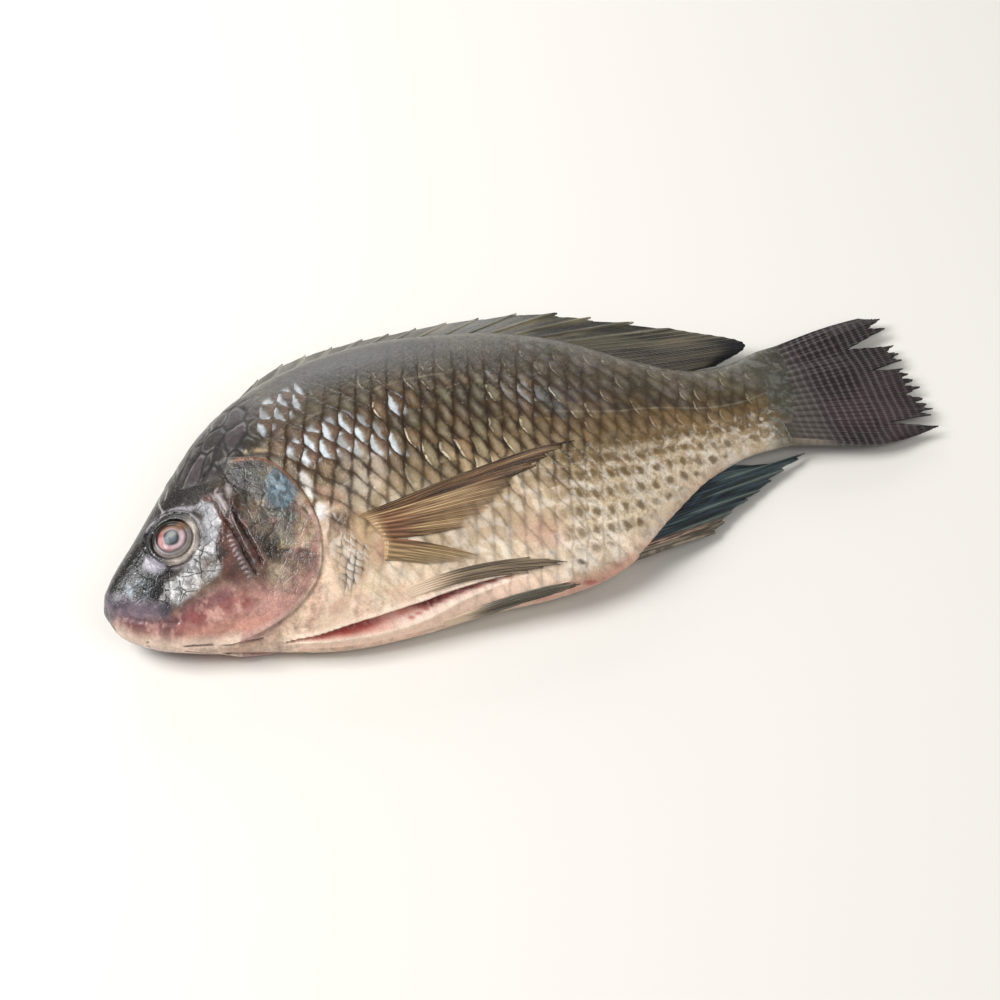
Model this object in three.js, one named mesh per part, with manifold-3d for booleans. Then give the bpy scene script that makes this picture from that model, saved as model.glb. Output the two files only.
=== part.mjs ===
// A whole raw fish with all its fins, gutted through a long cut in the belly, lying on its right side.
// Millimetres: +X runs from the snout to the tail, +Y from the belly to the back and +Z up, so the
// left flank faces up. Everything is worked out with the snout tip at x = 0 and the surface that
// the fish lies on at z = 0, and is moved at the end so that the origin is the middle of its base.

import * as THREE from 'three';
import { mergeVertices } from 'three/addons/utils/BufferGeometryUtils.js';
import Module from 'manifold-3d';

const wasm = await Module();
wasm.setup();

// Driving dimensions, mm.
const STANDARD_LENGTH = 302; // snout tip to the end of the scaled tail stalk
const FLESH_END = 318; // the stalk's flesh thins out to nothing inside the tail fin
const NOSE = 3; // the snout rounds off over this length
const SETTLE = 3; // the flesh flattens softly within this height of the surface it lies on
const RIGHT_BULGE = 0.95; // thickness of the right half against the left
const TAIL_FIN_REACH = 364; // snout tip to the tips of the tail fin
const EYE_RADIUS = 9; // across the eyeball
const EYE_DEPTH = 6; // half its thickness along its own axis
const EYE_PROUD = 1.8; // how far it stands out of the head
const EYE_GAP = 0.3; // clearance between the eyeball and its socket
const EYE_PLACE = { x: 34.5, u: 0.427 };
const FIN_EDGE = 0.5; // half the thickness of a fin at its free edge
const GILL_STEP = 1.5; // height of the gill cover's hind edge over the skin behind it
const CUT_DEPTH = 18; // how deep the belly cut goes

// Outline of the body as [distance from the snout, value] knots.
const BACK = [[0, 0], [5, 7], [20, 22], [40, 43], [60, 62], [82, 74.5], [108, 80.8], [132, 82.3],
  [165, 79.8], [195, 73.5], [222, 61.5], [246, 45], [266, 34], [284, 32.4], [302, 37]];
const KEEL = [[0, -6], [5, -14.2], [14, -21.3], [30, -28], [56, -35.5], [90, -46], [118, -49.4],
  [150, -50.8], [180, -54.2], [196, -54], [212, -49.6], [235, -34.8], [258, -21], [276, -14.6], [302, -14.5]];
const BACK_HEIGHT = [[0, 20], [12, 23], [40, 28], [72, 31], [105, 33], [135, 33], [170, 30], [210, 26],
  [250, 20], [285, 15], [302, 13]];
const KEEL_HEIGHT = [[0, 18], [12, 15], [30, 12.2], [56, 10], [85, 9], [120, 9.3], [160, 11.5],
  [200, 13], [250, 13], [302, 10]];
const BULGE = [[0, 4], [4, 8.5], [12, 12.5], [24, 16.5], [40, 20], [65, 23.6], [95, 26.8], [120, 27.5],
  [145, 26.8], [180, 23.3], [215, 18.2], [250, 12], [285, 7.2], [302, 5.4]];

const Z = new THREE.Vector3(0, 0, 1);
const LEFT = 1;
const RIGHT = -1;

// ---- Working tools ---------------------------------------------------------------------------

// A smooth function through [position, value] knots: each knot's slope is that of the parabola
// through it and its two neighbours.
function smooth(knots) {
  const last = knots.length - 1;
  const gap = (i) => knots[i + 1][0] - knots[i][0];
  const rise = (i) => (knots[i + 1][1] - knots[i][1]) / gap(i);
  const slope = (i) => {
    if (i === 0) return rise(0);
    if (i === last) return rise(last - 1);
    return (rise(i - 1) * gap(i) + rise(i) * gap(i - 1)) / (gap(i) + gap(i - 1));
  };
  return (position) => {
    const at = THREE.MathUtils.clamp(position, knots[0][0], knots[last][0]);
    let i = 0;
    while (i < last - 1 && at > knots[i + 1][0]) i += 1;
    const t = (at - knots[i][0]) / gap(i);
    const start = knots[i][1] * (1 + 2 * t) * (1 - t) ** 2 + slope(i) * gap(i) * t * (1 - t) ** 2;
    const end = knots[i + 1][1] * t * t * (3 - 2 * t) - slope(i + 1) * gap(i) * t * t * (1 - t);
    return start + end;
  };
}

// A smooth path through points given as arrays of equal length, with its parameter from 0 to 1.
function path(points) {
  const parts = points[0].map((_, k) => smooth(points.map((p, i) => [i / (points.length - 1), p[k]])));
  return (t) => parts.map((part) => part(t));
}

function mix(a, b, t) {
  return a + (b - a) * t;
}

// A closed body from points and triangles, turned right side out. Points that meet are merged,
// and triangles that shrink to nothing there are dropped.
function solid(points, triangles) {
  const geometry = new THREE.BufferGeometry().setFromPoints(points);
  geometry.setIndex(triangles.flat());
  const merged = mergeVertices(geometry, 1e-4);
  const index = merged.getIndex().array;
  const kept = [];
  for (let i = 0; i < index.length; i += 3) {
    const [a, b, c] = index.slice(i, i + 3);
    if (a !== b && b !== c && c !== a) kept.push([a, b, c]);
  }
  const position = merged.getAttribute('position');
  const corner = (i) => new THREE.Vector3().fromBufferAttribute(position, i);
  const volume = kept.reduce((sum, [a, b, c]) => sum + corner(a).dot(corner(b).cross(corner(c))), 0);
  const turned = volume > 0 ? kept : kept.map(([a, b, c]) => [a, c, b]);
  const mesh = new wasm.Mesh({
    numProp: 3,
    vertProperties: new Float32Array(position.array),
    triVerts: new Uint32Array(turned.flat()),
  });
  return new wasm.Manifold(mesh);
}

// The two triangles of a four-cornered patch.
function patch(a, b, c, d) {
  return [[a, b, c], [a, c, d]];
}

// A thin body between an upper and a lower surface over one grid, both split alike. column and
// row run from 0 to 1, and place(column, row, side) gives a point of either surface.
function sheet(columns, rows, place) {
  const points = [];
  const at = (layer, i, j) => (layer * columns.length + i) * rows.length + j;
  for (const side of [1, -1]) {
    for (const column of columns) {
      for (const row of rows) points.push(place(column, row, side));
    }
  }
  const triangles = [];
  for (let i = 0; i < columns.length - 1; i += 1) {
    for (let j = 0; j < rows.length - 1; j += 1) {
      triangles.push(...patch(at(0, i, j), at(0, i + 1, j), at(0, i + 1, j + 1), at(0, i, j + 1)));
      const under = patch(at(1, i, j), at(1, i + 1, j), at(1, i + 1, j + 1), at(1, i, j + 1));
      triangles.push(...under.map(([a, b, c]) => [a, c, b]));
    }
  }
  const rim = [];
  columns.forEach((_, i) => rim.push([i, 0]));
  rows.slice(1).forEach((_, j) => rim.push([columns.length - 1, j + 1]));
  columns.slice(1).forEach((_, i) => rim.push([columns.length - 2 - i, rows.length - 1]));
  rows.slice(1, -1).forEach((_, j) => rim.push([0, rows.length - 2 - j]));
  rim.forEach(([i, j], k) => {
    const [m, n] = rim[(k + 1) % rim.length];
    triangles.push(...patch(at(0, i, j), at(1, i, j), at(1, m, n), at(0, m, n)));
  });
  return solid(points, triangles);
}

// A closed body through rings of points, all with the same number, with a flat face at each end.
function loft(rings) {
  const count = rings[0].length;
  const triangles = [];
  for (let i = 0; i < rings.length - 1; i += 1) {
    for (let k = 0; k < count; k += 1) {
      const next = (k + 1) % count;
      triangles.push(...patch(i * count + k, i * count + next, (i + 1) * count + next, (i + 1) * count + k));
    }
  }
  const end = (rings.length - 1) * count;
  for (let k = 1; k < count - 1; k += 1) {
    triangles.push([0, k + 1, k]);
    triangles.push([end, end + k, end + k + 1]);
  }
  return solid(rings.flat(), triangles);
}

// Evenly spaced numbers from 0 to 1.
function steps(count) {
  return Array.from({ length: count + 1 }, (_, i) => i / count);
}

// ---- The skin --------------------------------------------------------------------------------

const backLine = smooth(BACK);
const keelLine = smooth(KEEL);
const backHeight = smooth(BACK_HEIGHT);
const keelHeight = smooth(KEEL_HEIGHT);
const bulge = smooth(BULGE);

// Height above the resting surface: negative heights become 0 through a short parabola.
function settle(height) {
  if (height <= -SETTLE) return 0;
  if (height >= SETTLE) return height;
  return (height + SETTLE) ** 2 / (4 * SETTLE);
}

// How full a section is, from 0 at the snout's tip to 1: a quarter ellipse.
function fullness(x) {
  const nose = THREE.MathUtils.clamp(1 - x / NOSE, 0, 1);
  return Math.sqrt(1 - nose * nose);
}

// How much of its thickness a section keeps, going down to 0 along the end of the tail stalk.
const STALK_THINS = 292; // snout tip to where the stalk starts to thin
function stalkKeeps(x) {
  const t = THREE.MathUtils.clamp((x - STALK_THINS) / (FLESH_END - STALK_THINS), 0, 1);
  return 1 - t * t * (1.6 - 0.6 * t);
}

// A point of the skin. x is the distance from the snout, u runs over a flank from 0 on the back
// to 1 on the keel.
function skin(x, u, side) {
  const v = u ** 0.92;
  const swell = Math.max(4 * v * (1 - v), 0) ** (0.62 - 0.12 * u);
  const thick = bulge(x) * swell * stalkKeeps(x) * (side === LEFT ? 1 : -RIGHT_BULGE);
  const full = fullness(x);
  const middleY = mix(backLine(x), keelLine(x), 0.5);
  const middleZ = mix(backHeight(x), keelHeight(x), 0.5);
  const y = mix(backLine(x), keelLine(x), u);
  const z = mix(backHeight(x), keelHeight(x), u) + thick;
  return new THREE.Vector3(x, mix(middleY, y, full), settle(mix(middleZ, z, full)));
}

// The direction out of the skin at a place on a flank.
function outward(x, u, side) {
  const near = 0.4;
  const along = skin(x + near, u, side).sub(skin(x - near, u, side));
  const round = skin(x, Math.min(u + 0.01, 1), side).sub(skin(x, u - 0.01, side));
  return round.cross(along).normalize().multiplyScalar(side);
}

// A point a given height off the skin, measured square to it and kept above the resting surface.
function above(x, u, side, height) {
  const point = skin(x, u, side).addScaledVector(outward(x, u, side), height);
  point.z = Math.max(point.z, 0);
  return point;
}

// The body without its fins: rings of skin from the snout to the end of the flesh.
function flesh() {
  const headStations = steps(26).map((t) => 100 * t ** 1.2);
  const flankStations = steps(24).slice(1).map((t) => mix(100, STALK_THINS, t));
  const stalkStations = steps(5).slice(1).map((t) => mix(STALK_THINS, FLESH_END, t));
  const stations = [...headStations, ...flankStations, ...stalkStations];
  const down = steps(17).map((t) => (1 - Math.cos(t * Math.PI)) / 2);
  const up = down.slice(1, -1).reverse();
  const ring = (x) => [...down.map((u) => skin(x, u, LEFT)), ...up.map((u) => skin(x, u, RIGHT))];
  return loft(stations.map(ring));
}

// ---- Head ------------------------------------------------------------------------------------

// A raised roll of skin along a path of [x, u] places, round in section and thin at its ends.
function roll(places, side, radius, rise) {
  const line = path(places);
  const rings = steps(8).map((t) => {
    const [x, u] = line(t);
    const out = outward(x, u, side);
    const [nextX, nextU] = line(Math.min(t + 0.02, 1));
    const [lastX, lastU] = line(Math.max(t - 0.02, 0));
    const along = skin(nextX, nextU, side).sub(skin(lastX, lastU, side)).normalize();
    const across = new THREE.Vector3().crossVectors(out, along);
    const size = radius * (0.35 + 0.65 * Math.sin(Math.PI * t));
    const centre = above(x, u, side, rise - radius);
    return steps(6).slice(1).map((turn) => {
      const angle = turn * 2 * Math.PI;
      const point = centre.clone().addScaledVector(out, size * Math.sin(angle));
      point.addScaledVector(across, size * Math.cos(angle));
      point.z = Math.max(point.z, 0);
      return point;
    });
  });
  return loft(rings);
}

// The mouth's slit: a thin blade along the gape, from one corner round the snout to the other.
const GAPE = 23; // snout tip to the corner of the mouth
const gapeHeight = smooth([[0, 0.66], [6, 0.775], [13, 0.83], [23, 0.885]]);

function mouthSlit() {
  const rings = steps(14).map((t) => {
    const side = t < 0.5 ? LEFT : RIGHT;
    const x = Math.max(GAPE * Math.abs(2 * t - 1) ** 1.4, 0.5);
    const u = gapeHeight(x);
    const out = outward(x, u, side);
    const point = skin(x, u, side);
    const open = mix(0.9, 0.35, x / GAPE);
    const cross = new THREE.Vector3(0, 1, 0.4 * side).cross(out).cross(out).normalize();
    const outer = point.clone().addScaledVector(out, 1.5);
    const inner = point.clone().addScaledVector(out, -3.5);
    return [
      outer.clone().addScaledVector(cross, open),
      outer.clone().addScaledVector(cross, -open),
      inner.clone().addScaledVector(cross, -0.15),
      inner.clone().addScaledVector(cross, 0.15),
    ];
  });
  return loft(rings);
}

function lips(side) {
  const upper = [[2.2, 0.5], [7, 0.66], [14, 0.75], [23, 0.83]];
  const lower = [[1.6, 0.9], [7, 0.87], [14, 0.905], [23, 0.925]];
  return roll(upper, side, 3, 1.5).add(roll(lower, side, 2.6, 1.3));
}

// Two ridges of the cheek bone in front of the gill cover, which follow its front edge.
function cheekRidges(side) {
  const inner = [[60, 0.46], [62.6, 0.6], [63, 0.73], [67, 0.85]];
  const outer = [[64, 0.53], [67, 0.65], [69, 0.75], [72, 0.82]];
  return roll(inner, side, 1.5, 1.1).add(roll(outer, side, 1.3, 0.9));
}

// The gill cover: a plate that fades into the cheek in front and ends in a raised edge behind.
const gillEdge = path([[58, 0.22], [70, 0.32], [80, 0.385], [88, 0.49], [92, 0.61], [92, 0.71], [87, 0.82],
  [76, 0.9], [64, 0.95], [50, 0.985], [36, 0.996]]);
const gillFront = path([[57, 0.225], [61, 0.4], [67, 0.49], [69, 0.55], [71, 0.62], [72, 0.69], [69, 0.78],
  [62, 0.85], [52, 0.91], [42, 0.96], [34.5, 0.99]]);

function gillCover(side) {
  return sheet(steps(14), steps(4), (column, row, face) => {
    const [edgeX, edgeU] = gillEdge(column);
    const [frontX, frontU] = gillFront(column);
    const height = face > 0 ? mix(-0.4, GILL_STEP, row ** 0.8) : -3;
    return above(mix(frontX, edgeX, row), mix(frontU, edgeU, row), side, height);
  });
}

// An eyeball, flattened along its own axis, or its socket when grown by the clearance.
function eyeball(side, grow) {
  const { x, u } = EYE_PLACE;
  const out = outward(x, u, side);
  const centre = skin(x, u, side).addScaledVector(out, EYE_PROUD - EYE_DEPTH);
  const geometry = new THREE.SphereGeometry(1, 20, 10);
  geometry.deleteAttribute('normal');
  geometry.deleteAttribute('uv');
  geometry.rotateX(Math.PI / 2);
  geometry.scale(EYE_RADIUS + grow, EYE_RADIUS + grow, EYE_DEPTH + grow);
  geometry.applyQuaternion(new THREE.Quaternion().setFromUnitVectors(Z, out));
  geometry.translate(centre.x, centre.y, centre.z);
  return bodyOf(geometry);
}

// The soft rim round the eye.
function eyeRim(side) {
  const { x, u } = EYE_PLACE;
  const out = outward(x, u, side);
  const centre = skin(x, u, side).addScaledVector(out, -1.1);
  const geometry = new THREE.TorusGeometry(EYE_RADIUS + 0.6, 1.9, 6, 24);
  geometry.deleteAttribute('normal');
  geometry.deleteAttribute('uv');
  geometry.applyQuaternion(new THREE.Quaternion().setFromUnitVectors(Z, out));
  geometry.translate(centre.x, centre.y, centre.z);
  return bodyOf(geometry);
}

// A three.js geometry as a body that can be joined and cut.
function bodyOf(geometry) {
  const position = geometry.getAttribute('position');
  const points = [];
  for (let i = 0; i < position.count; i += 1) {
    const point = new THREE.Vector3().fromBufferAttribute(position, i);
    point.z = Math.max(point.z, 0);
    points.push(point);
  }
  const index = geometry.getIndex().array;
  const triangles = [];
  for (let i = 0; i < index.length; i += 3) triangles.push([index[i], index[i + 1], index[i + 2]]);
  return solid(points, triangles);
}

// ---- Belly -----------------------------------------------------------------------------------

// The gutting cut: its two lips on the skin, widest near the front, and the bottom of the hollow.
const upperLip = path([[66, 0.994], [80, 0.982], [100, 0.964], [118, 0.957], [140, 0.952], [168, 0.951]]);
const lowerLip = path([[67, 0.9955], [84, 0.993], [106, 0.994], [122, 0.99], [142, 0.974], [169, 0.956]]);

function bellyCut() {
  const rings = steps(18).map((t) => {
    const [upperX, upperU] = upperLip(t);
    const [lowerX, lowerU] = lowerLip(t);
    const upper = skin(upperX, upperU, LEFT);
    const lower = skin(lowerX, lowerU, LEFT);
    const spread = lower.clone().sub(upper).normalize();
    const out = outward(upperX, mix(upperU, lowerU, 0.5), LEFT);
    const deep = CUT_DEPTH * Math.sin(Math.PI * mix(0.06, 0.94, t)) ** 0.7;
    const floor = upper.clone().lerp(lower, 0.4).add(new THREE.Vector3(0, deep, 0.1 * deep));
    return [
      upper.clone().addScaledVector(out, 3),
      upper,
      floor.clone().addScaledVector(spread, -0.8),
      floor.clone().addScaledVector(spread, 0.8),
      lower,
      lower.clone().addScaledVector(out, 3),
    ];
  });
  return loft(rings);
}

// ---- Fins ------------------------------------------------------------------------------------

// Half the thickness of a fin, from its root to its free edge.
function finHalf(root, row) {
  return mix(root, FIN_EDGE, Math.sqrt(row));
}

// A fin that stands off the body: each ray runs from root(t) to edge(t), as far as reach(t) says,
// and the web ripples between them.
function freeFin({ columns, rows, root, edge, reach, rootHalf, ripple, bend }) {
  return sheet(columns, rows, (column, row, face) => {
    const along = row * reach(column);
    const start = root(column);
    const end = edge(column);
    const [bendX, bendY] = bend(column, along);
    const wave = ripple * row * Math.sin(column * 19 + row * 4);
    const x = mix(start[0], end[0], along) + bendX;
    const y = mix(start[1], end[1], along) + bendY;
    const middle = mix(start[2], end[2], along) + wave;
    const half = finHalf(rootHalf, row);
    return new THREE.Vector3(x, y, Math.max(middle, half) + face * half);
  });
}

const straight = () => [0, 0];

// The long back fin, folded down towards the tail. In its front part each spine ends in a tip
// and the web drops behind it, and its soft rear lobe runs out to a point over the tail stalk.
const SPINES = 15;
const SPINY_PART = 0.78;

function backFin() {
  const spiny = steps(SPINES * 3).map((t) => t * SPINY_PART);
  const soft = steps(11).slice(1).map((t) => mix(SPINY_PART, 1, t));
  const rim = path([[68, 70, 27], [92, 88.5, 26], [114, 93.5, 26], [138, 94, 26], [162, 93, 25],
    [188, 90.4, 23], [219, 84.8, 21], [249, 73.5, 17], [277, 58.5, 13], [299.5, 44.6, 10.3], [283, 37, 12]]);
  return freeFin({
    columns: [...spiny, ...soft],
    rows: steps(3),
    root: (t) => {
      const x = mix(62, 259, t);
      return [x, backLine(x) - 3, backHeight(x)];
    },
    edge: rim,
    reach: (t) => {
      const place = (t / SPINY_PART * SPINES) % 1;
      return t < SPINY_PART ? mix(0.8, 1, place) : 1;
    },
    rootHalf: 2,
    ripple: 0.5,
    bend: straight,
  });
}

// The tail fin, worn at its end: a tip at each ray, a nick between rays and two deep tears.
const TAIL_RAYS = 17;
const TAIL_TEARS = { 1: 0.4, 14: 0.36 };

function tailFin() {
  const columns = steps(TAIL_RAYS * 2);
  const rim = path([[362.5, -24, 5.2], [TAIL_FIN_REACH, -12, 5], [TAIL_FIN_REACH, 4, 5.2],
    [363, 19, 5.4], [362, 31, 5.2], [TAIL_FIN_REACH, 38, 5], [356, 43.5, 5.8]]);
  return freeFin({
    columns,
    rows: steps(6),
    root: (t) => [297, mix(-13.8, 34.8, t), 11.8],
    edge: rim,
    reach: (t) => {
      const ray = Math.floor(t * TAIL_RAYS);
      const between = Math.round(t * TAIL_RAYS * 2) % 2 === 1;
      const nick = TAIL_TEARS[ray] ?? 0.05 + 0.04 * Math.sin(ray * 2.4);
      return between ? 1 - nick : 1 - 0.02 * Math.sin(ray * 1.7) ** 2;
    },
    rootHalf: 3,
    ripple: 0.7,
    bend: (t, along) => [0, 3.4 * (2 * t - 1) ** 3 * Math.sin(Math.PI * along ** 1.6)],
  });
}

// The fin under the tail stalk, swept back and drooping from the keel to the resting surface.
function ventFin() {
  const rim = path([[259, -42.4, 4], [270, -36, 3.6], [283, -29, 3.4], [294, -22, 3.4],
    [304.5, -15, 3.6], [297, -12, 5], [286, -12.5, 7]]);
  return freeFin({
    columns: steps(18),
    rows: steps(5),
    root: (t) => {
      const x = mix(211, 262, t);
      return [x, keelLine(x) + mix(1.5, 4, t), keelHeight(x)];
    },
    edge: rim,
    reach: (t) => 1 - 0.05 * Math.abs(Math.sin(t * Math.PI * 9)),
    rootHalf: 2.4,
    ripple: 0.4,
    bend: straight,
  });
}

// A fin pressed against the flank: rays run over the skin from root(t) to edge(t), both [x, u].
function pressedFin({ columns, rows, side, root, edge, reach, thick }) {
  return sheet(columns, rows, (column, row, face) => {
    const along = row * reach(column);
    const [rootX, rootU] = root(column);
    const [edgeX, edgeU] = edge(column);
    const upper = mix(thick, 0.8, Math.sqrt(row)) + 0.25 * Math.sin(column * 40) * row;
    return above(mix(rootX, edgeX, along), mix(rootU, edgeU, along), side, face > 0 ? upper : -0.9);
  });
}

// The left breast fin, split into a long upper and a short lower bundle of rays.
function breastFin() {
  return pressedFin({
    columns: steps(20),
    rows: steps(5),
    side: LEFT,
    root: path([[102.5, 0.685], [105, 0.74], [106, 0.8]]),
    edge: path([[204, 0.571], [197, 0.6], [187, 0.64], [177, 0.69], [167, 0.75], [157, 0.81],
      [150, 0.86], [143, 0.884], [131, 0.874]]),
    reach: smooth([[0, 1], [0.58, 1], [0.625, 0.95], [0.68, 0.15], [0.75, 0.95], [0.8, 1], [1, 1]]),
    thick: 2,
  });
}

// The belly fins: narrow folded bundles, the left one along the cut and the right one below it.
function bellyFin(side, root, edge) {
  return pressedFin({
    columns: steps(5),
    rows: steps(6),
    side,
    root: path(root),
    edge: path(edge),
    reach: (t) => 1 - 0.25 * Math.abs(t - 0.4),
    thick: 2.4,
  });
}

// ---- The fish --------------------------------------------------------------------------------

function wholeFish() {
  const leftBellyFin = bellyFin(LEFT, [[112, 0.925], [114, 0.937], [117, 0.948]],
    [[158, 0.917], [184, 0.945], [166, 0.949]]);
  const rightBellyFin = bellyFin(RIGHT, [[120, 0.993], [121, 0.985], [122, 0.97]],
    [[184, 0.996], [188, 0.985], [170, 0.965]]);
  let fish = flesh();
  for (const side of [LEFT, RIGHT]) {
    fish = fish.add(gillCover(side)).add(cheekRidges(side)).add(lips(side)).add(eyeRim(side));
  }
  fish = fish.subtract(mouthSlit()).subtract(bellyCut());
  for (const side of [LEFT, RIGHT]) fish = fish.subtract(eyeball(side, EYE_GAP));
  return fish.add(backFin()).add(tailFin()).add(ventFin()).add(breastFin()).add(leftBellyFin)
    .add(rightBellyFin);
}

function meshOf(body, name, material) {
  const { vertProperties, triVerts } = body.getMesh();
  const geometry = new THREE.BufferGeometry();
  geometry.setAttribute('position', new THREE.BufferAttribute(new Float32Array(vertProperties), 3));
  geometry.setIndex(new THREE.BufferAttribute(new Uint32Array(triVerts), 1));
  geometry.computeVertexNormals();
  const mesh = new THREE.Mesh(geometry, material);
  mesh.name = name;
  return mesh;
}

const skinMaterial = new THREE.MeshStandardMaterial({ color: '#6f6859', roughness: 0.35, metalness: 0 });
const eyeMaterial = new THREE.MeshStandardMaterial({ color: '#b9a9a2', roughness: 0.12, metalness: 0 });

const group = new THREE.Group();
group.add(meshOf(wholeFish(), 'fish', skinMaterial));
group.add(meshOf(eyeball(LEFT, 0), 'eye_left', eyeMaterial));
group.add(meshOf(eyeball(RIGHT, 0), 'eye_right', eyeMaterial));

const box = new THREE.Box3().setFromObject(group);
const middle = box.getCenter(new THREE.Vector3());
group.position.set(-middle.x, -middle.y, -box.min.z);

export default group;
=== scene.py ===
from functools import partial

import bpy
import numpy as np
from mathutils import Matrix, Vector


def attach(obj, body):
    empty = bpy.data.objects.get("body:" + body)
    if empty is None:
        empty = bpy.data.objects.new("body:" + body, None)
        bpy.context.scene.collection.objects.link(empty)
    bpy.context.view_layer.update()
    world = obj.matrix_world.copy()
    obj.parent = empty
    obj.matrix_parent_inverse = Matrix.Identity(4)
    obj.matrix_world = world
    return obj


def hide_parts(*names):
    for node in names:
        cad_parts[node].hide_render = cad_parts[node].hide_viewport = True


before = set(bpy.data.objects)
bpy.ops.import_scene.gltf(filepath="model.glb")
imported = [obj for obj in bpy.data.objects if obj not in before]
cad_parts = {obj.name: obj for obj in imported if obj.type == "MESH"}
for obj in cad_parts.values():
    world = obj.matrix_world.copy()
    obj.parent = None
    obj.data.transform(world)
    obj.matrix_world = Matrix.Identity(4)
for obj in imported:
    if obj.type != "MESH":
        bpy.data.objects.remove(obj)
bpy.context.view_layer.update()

# ---- Body -------------------------------------------------------------------------------------
# The scaled body and head of a freshwater fish, flattened from side to side and lying on its right
# flank: wet skin over flesh, with overlapping scales that sit like roof tiles, their free edges to
# the tail. One skin runs from snout to tail stalk, in three lengths that meet ring to ring.

LEFT, RIGHT = 1, -1
MIDDLE = np.array([181.914, 19.293, 0.0])  # mm, from the snout tip to the middle of the base
FLESH_END = 311.0  # where the stalk ends, inside the tail fin
STALK_THINS = 292.0  # from here on its swell goes down to nothing
NOSE = 3.0  # the length over which the snout rounds off
SETTLE = 3.0  # half the height over which the flesh curves into its flat rest
RIGHT_BULGE = 0.95  # of the left flank's swell


def smooth(knots):
    """A smooth function through [position, value] knots: a cubic between each two, where a knot's
    slope is that of the parabola through it and its neighbours."""
    at, value = np.array(knots, float).T
    gap = np.diff(at)
    steep = np.diff(value) / gap
    slope = np.empty(len(at))
    slope[0], slope[-1] = steep[0], steep[-1]
    slope[1:-1] = (steep[:-1] * gap[1:] + steep[1:] * gap[:-1]) / (gap[1:] + gap[:-1])

    def value_at(position):
        place = np.clip(position, at[0], at[-1])
        i = np.clip(np.searchsorted(at, place, side="right") - 1, 0, len(gap) - 1)
        t = (place - at[i]) / gap[i]
        start = value[i] * (1 + 2 * t) * (1 - t) ** 2 + slope[i] * gap[i] * t * (1 - t) ** 2
        end = value[i + 1] * t * t * (3 - 2 * t) - slope[i + 1] * gap[i] * t * t * (1 - t)
        return start + end

    return value_at


def mix(a, b, t):
    """a where t is 0, b where it is 1, and in proportion between."""
    return a + (b - a) * t


def rise(low, high, value):
    """0 below low and 1 above high, with a soft S between them."""
    t = np.clip((value - low) / (high - low), 0, 1)
    return t * t * (3 - 2 * t)


def fall(low, high, value):
    """1 below low and 0 above high, with a soft S between them."""
    return 1 - rise(low, high, value)


# Outlines in mm from the snout tip: back and keel as seen from above, their heights over the
# surface the fish lies on, and how far each flank swells out.
back_line = smooth([[0, 0], [5, 7], [20, 22], [40, 43], [60, 62], [82, 74.5], [108, 80.8], [132, 82.3],
                    [165, 79.8], [195, 73.5], [222, 61.5], [246, 45], [266, 34], [284, 32.4], [302, 37]])
keel_line = smooth([[0, -6], [5, -14.2], [14, -21.3], [30, -28], [56, -35.5], [90, -46], [118, -49.4],
                    [150, -50.8], [180, -54.2], [196, -54], [212, -49.6], [235, -34.8], [258, -21],
                    [276, -14.6], [302, -14.5]])
back_height = smooth([[0, 20], [12, 23], [40, 28], [72, 31], [105, 33], [135, 33], [170, 30], [210, 26],
                      [250, 20], [285, 15], [302, 13]])
keel_height = smooth([[0, 18], [12, 15], [30, 12.2], [56, 10], [85, 9], [120, 9.3], [160, 11.5],
                      [200, 13], [250, 13], [302, 10]])
bulge = smooth([[0, 4], [4, 8.5], [12, 12.5], [24, 16.5], [40, 20], [65, 23.6], [95, 26.8], [120, 27.5],
                [145, 26.8], [180, 23.3], [215, 18.2], [250, 12], [285, 7.2], [302, 5.4]])


def settle(height):
    """Height over the resting surface: below it the flesh is flat, with a short parabola between."""
    eased = (height + SETTLE) ** 2 / (4 * SETTLE)
    return np.where(height <= -SETTLE, 0, np.where(height >= SETTLE, height, eased))


def skin(x, u, side):
    """A point of the bare skin. x runs from the snout, u down a flank from 0 on the back to 1 on the
    keel. Straight between back and keel, plus a swell that is a rounded arch in u."""
    x, u = np.broadcast_arrays(np.asarray(x, float), np.asarray(u, float))
    v = u ** 0.92
    swell = np.maximum(4 * v * (1 - v), 0) ** (0.62 - 0.12 * u)
    late = np.clip((x - STALK_THINS) / (FLESH_END - STALK_THINS), 0, 1)
    thick = bulge(x) * swell * (1 - late * late * (1.6 - 0.6 * late))
    thick = thick * (1 if side == LEFT else -RIGHT_BULGE)
    full = np.sqrt(np.clip(1 - np.clip(1 - x / NOSE, 0, 1) ** 2, 0, 1))
    y = mix(back_line(x), keel_line(x), u)
    z = mix(back_height(x), keel_height(x), u) + thick
    middle_y = (back_line(x) + keel_line(x)) / 2
    middle_z = (back_height(x) + keel_height(x)) / 2
    return np.stack([x, mix(middle_y, y, full), settle(mix(middle_z, z, full))], -1)


def outward(x, u, side):
    """The direction out of the bare skin, square to it."""
    along = skin(x + 0.4, u, side) - skin(np.maximum(x - 0.4, 0), u, side)
    down = skin(x, np.minimum(u + 0.01, 1), side) - skin(x, np.maximum(u - 0.01, 0), side)
    out = np.cross(down, along) * side
    return out / np.maximum(np.linalg.norm(out, axis=-1, keepdims=True), 1e-9)


# s is the distance in mm over the left flank from the back, so that x and s unroll the skin flat.
table_x = np.arange(0, 319.0)
table_u = np.linspace(0, 1, 501)


def arcs(side, stations=table_x):
    """The distance over a flank from the back, for each station and each line of the table."""
    line = skin(stations[:, None], table_u[None, :], side)
    step = np.linalg.norm(np.diff(line[..., 1:], axis=1), axis=-1)
    return np.concatenate([np.zeros((len(stations), 1)), np.cumsum(step, 1)], 1)


arc_table = arcs(LEFT)


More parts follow.
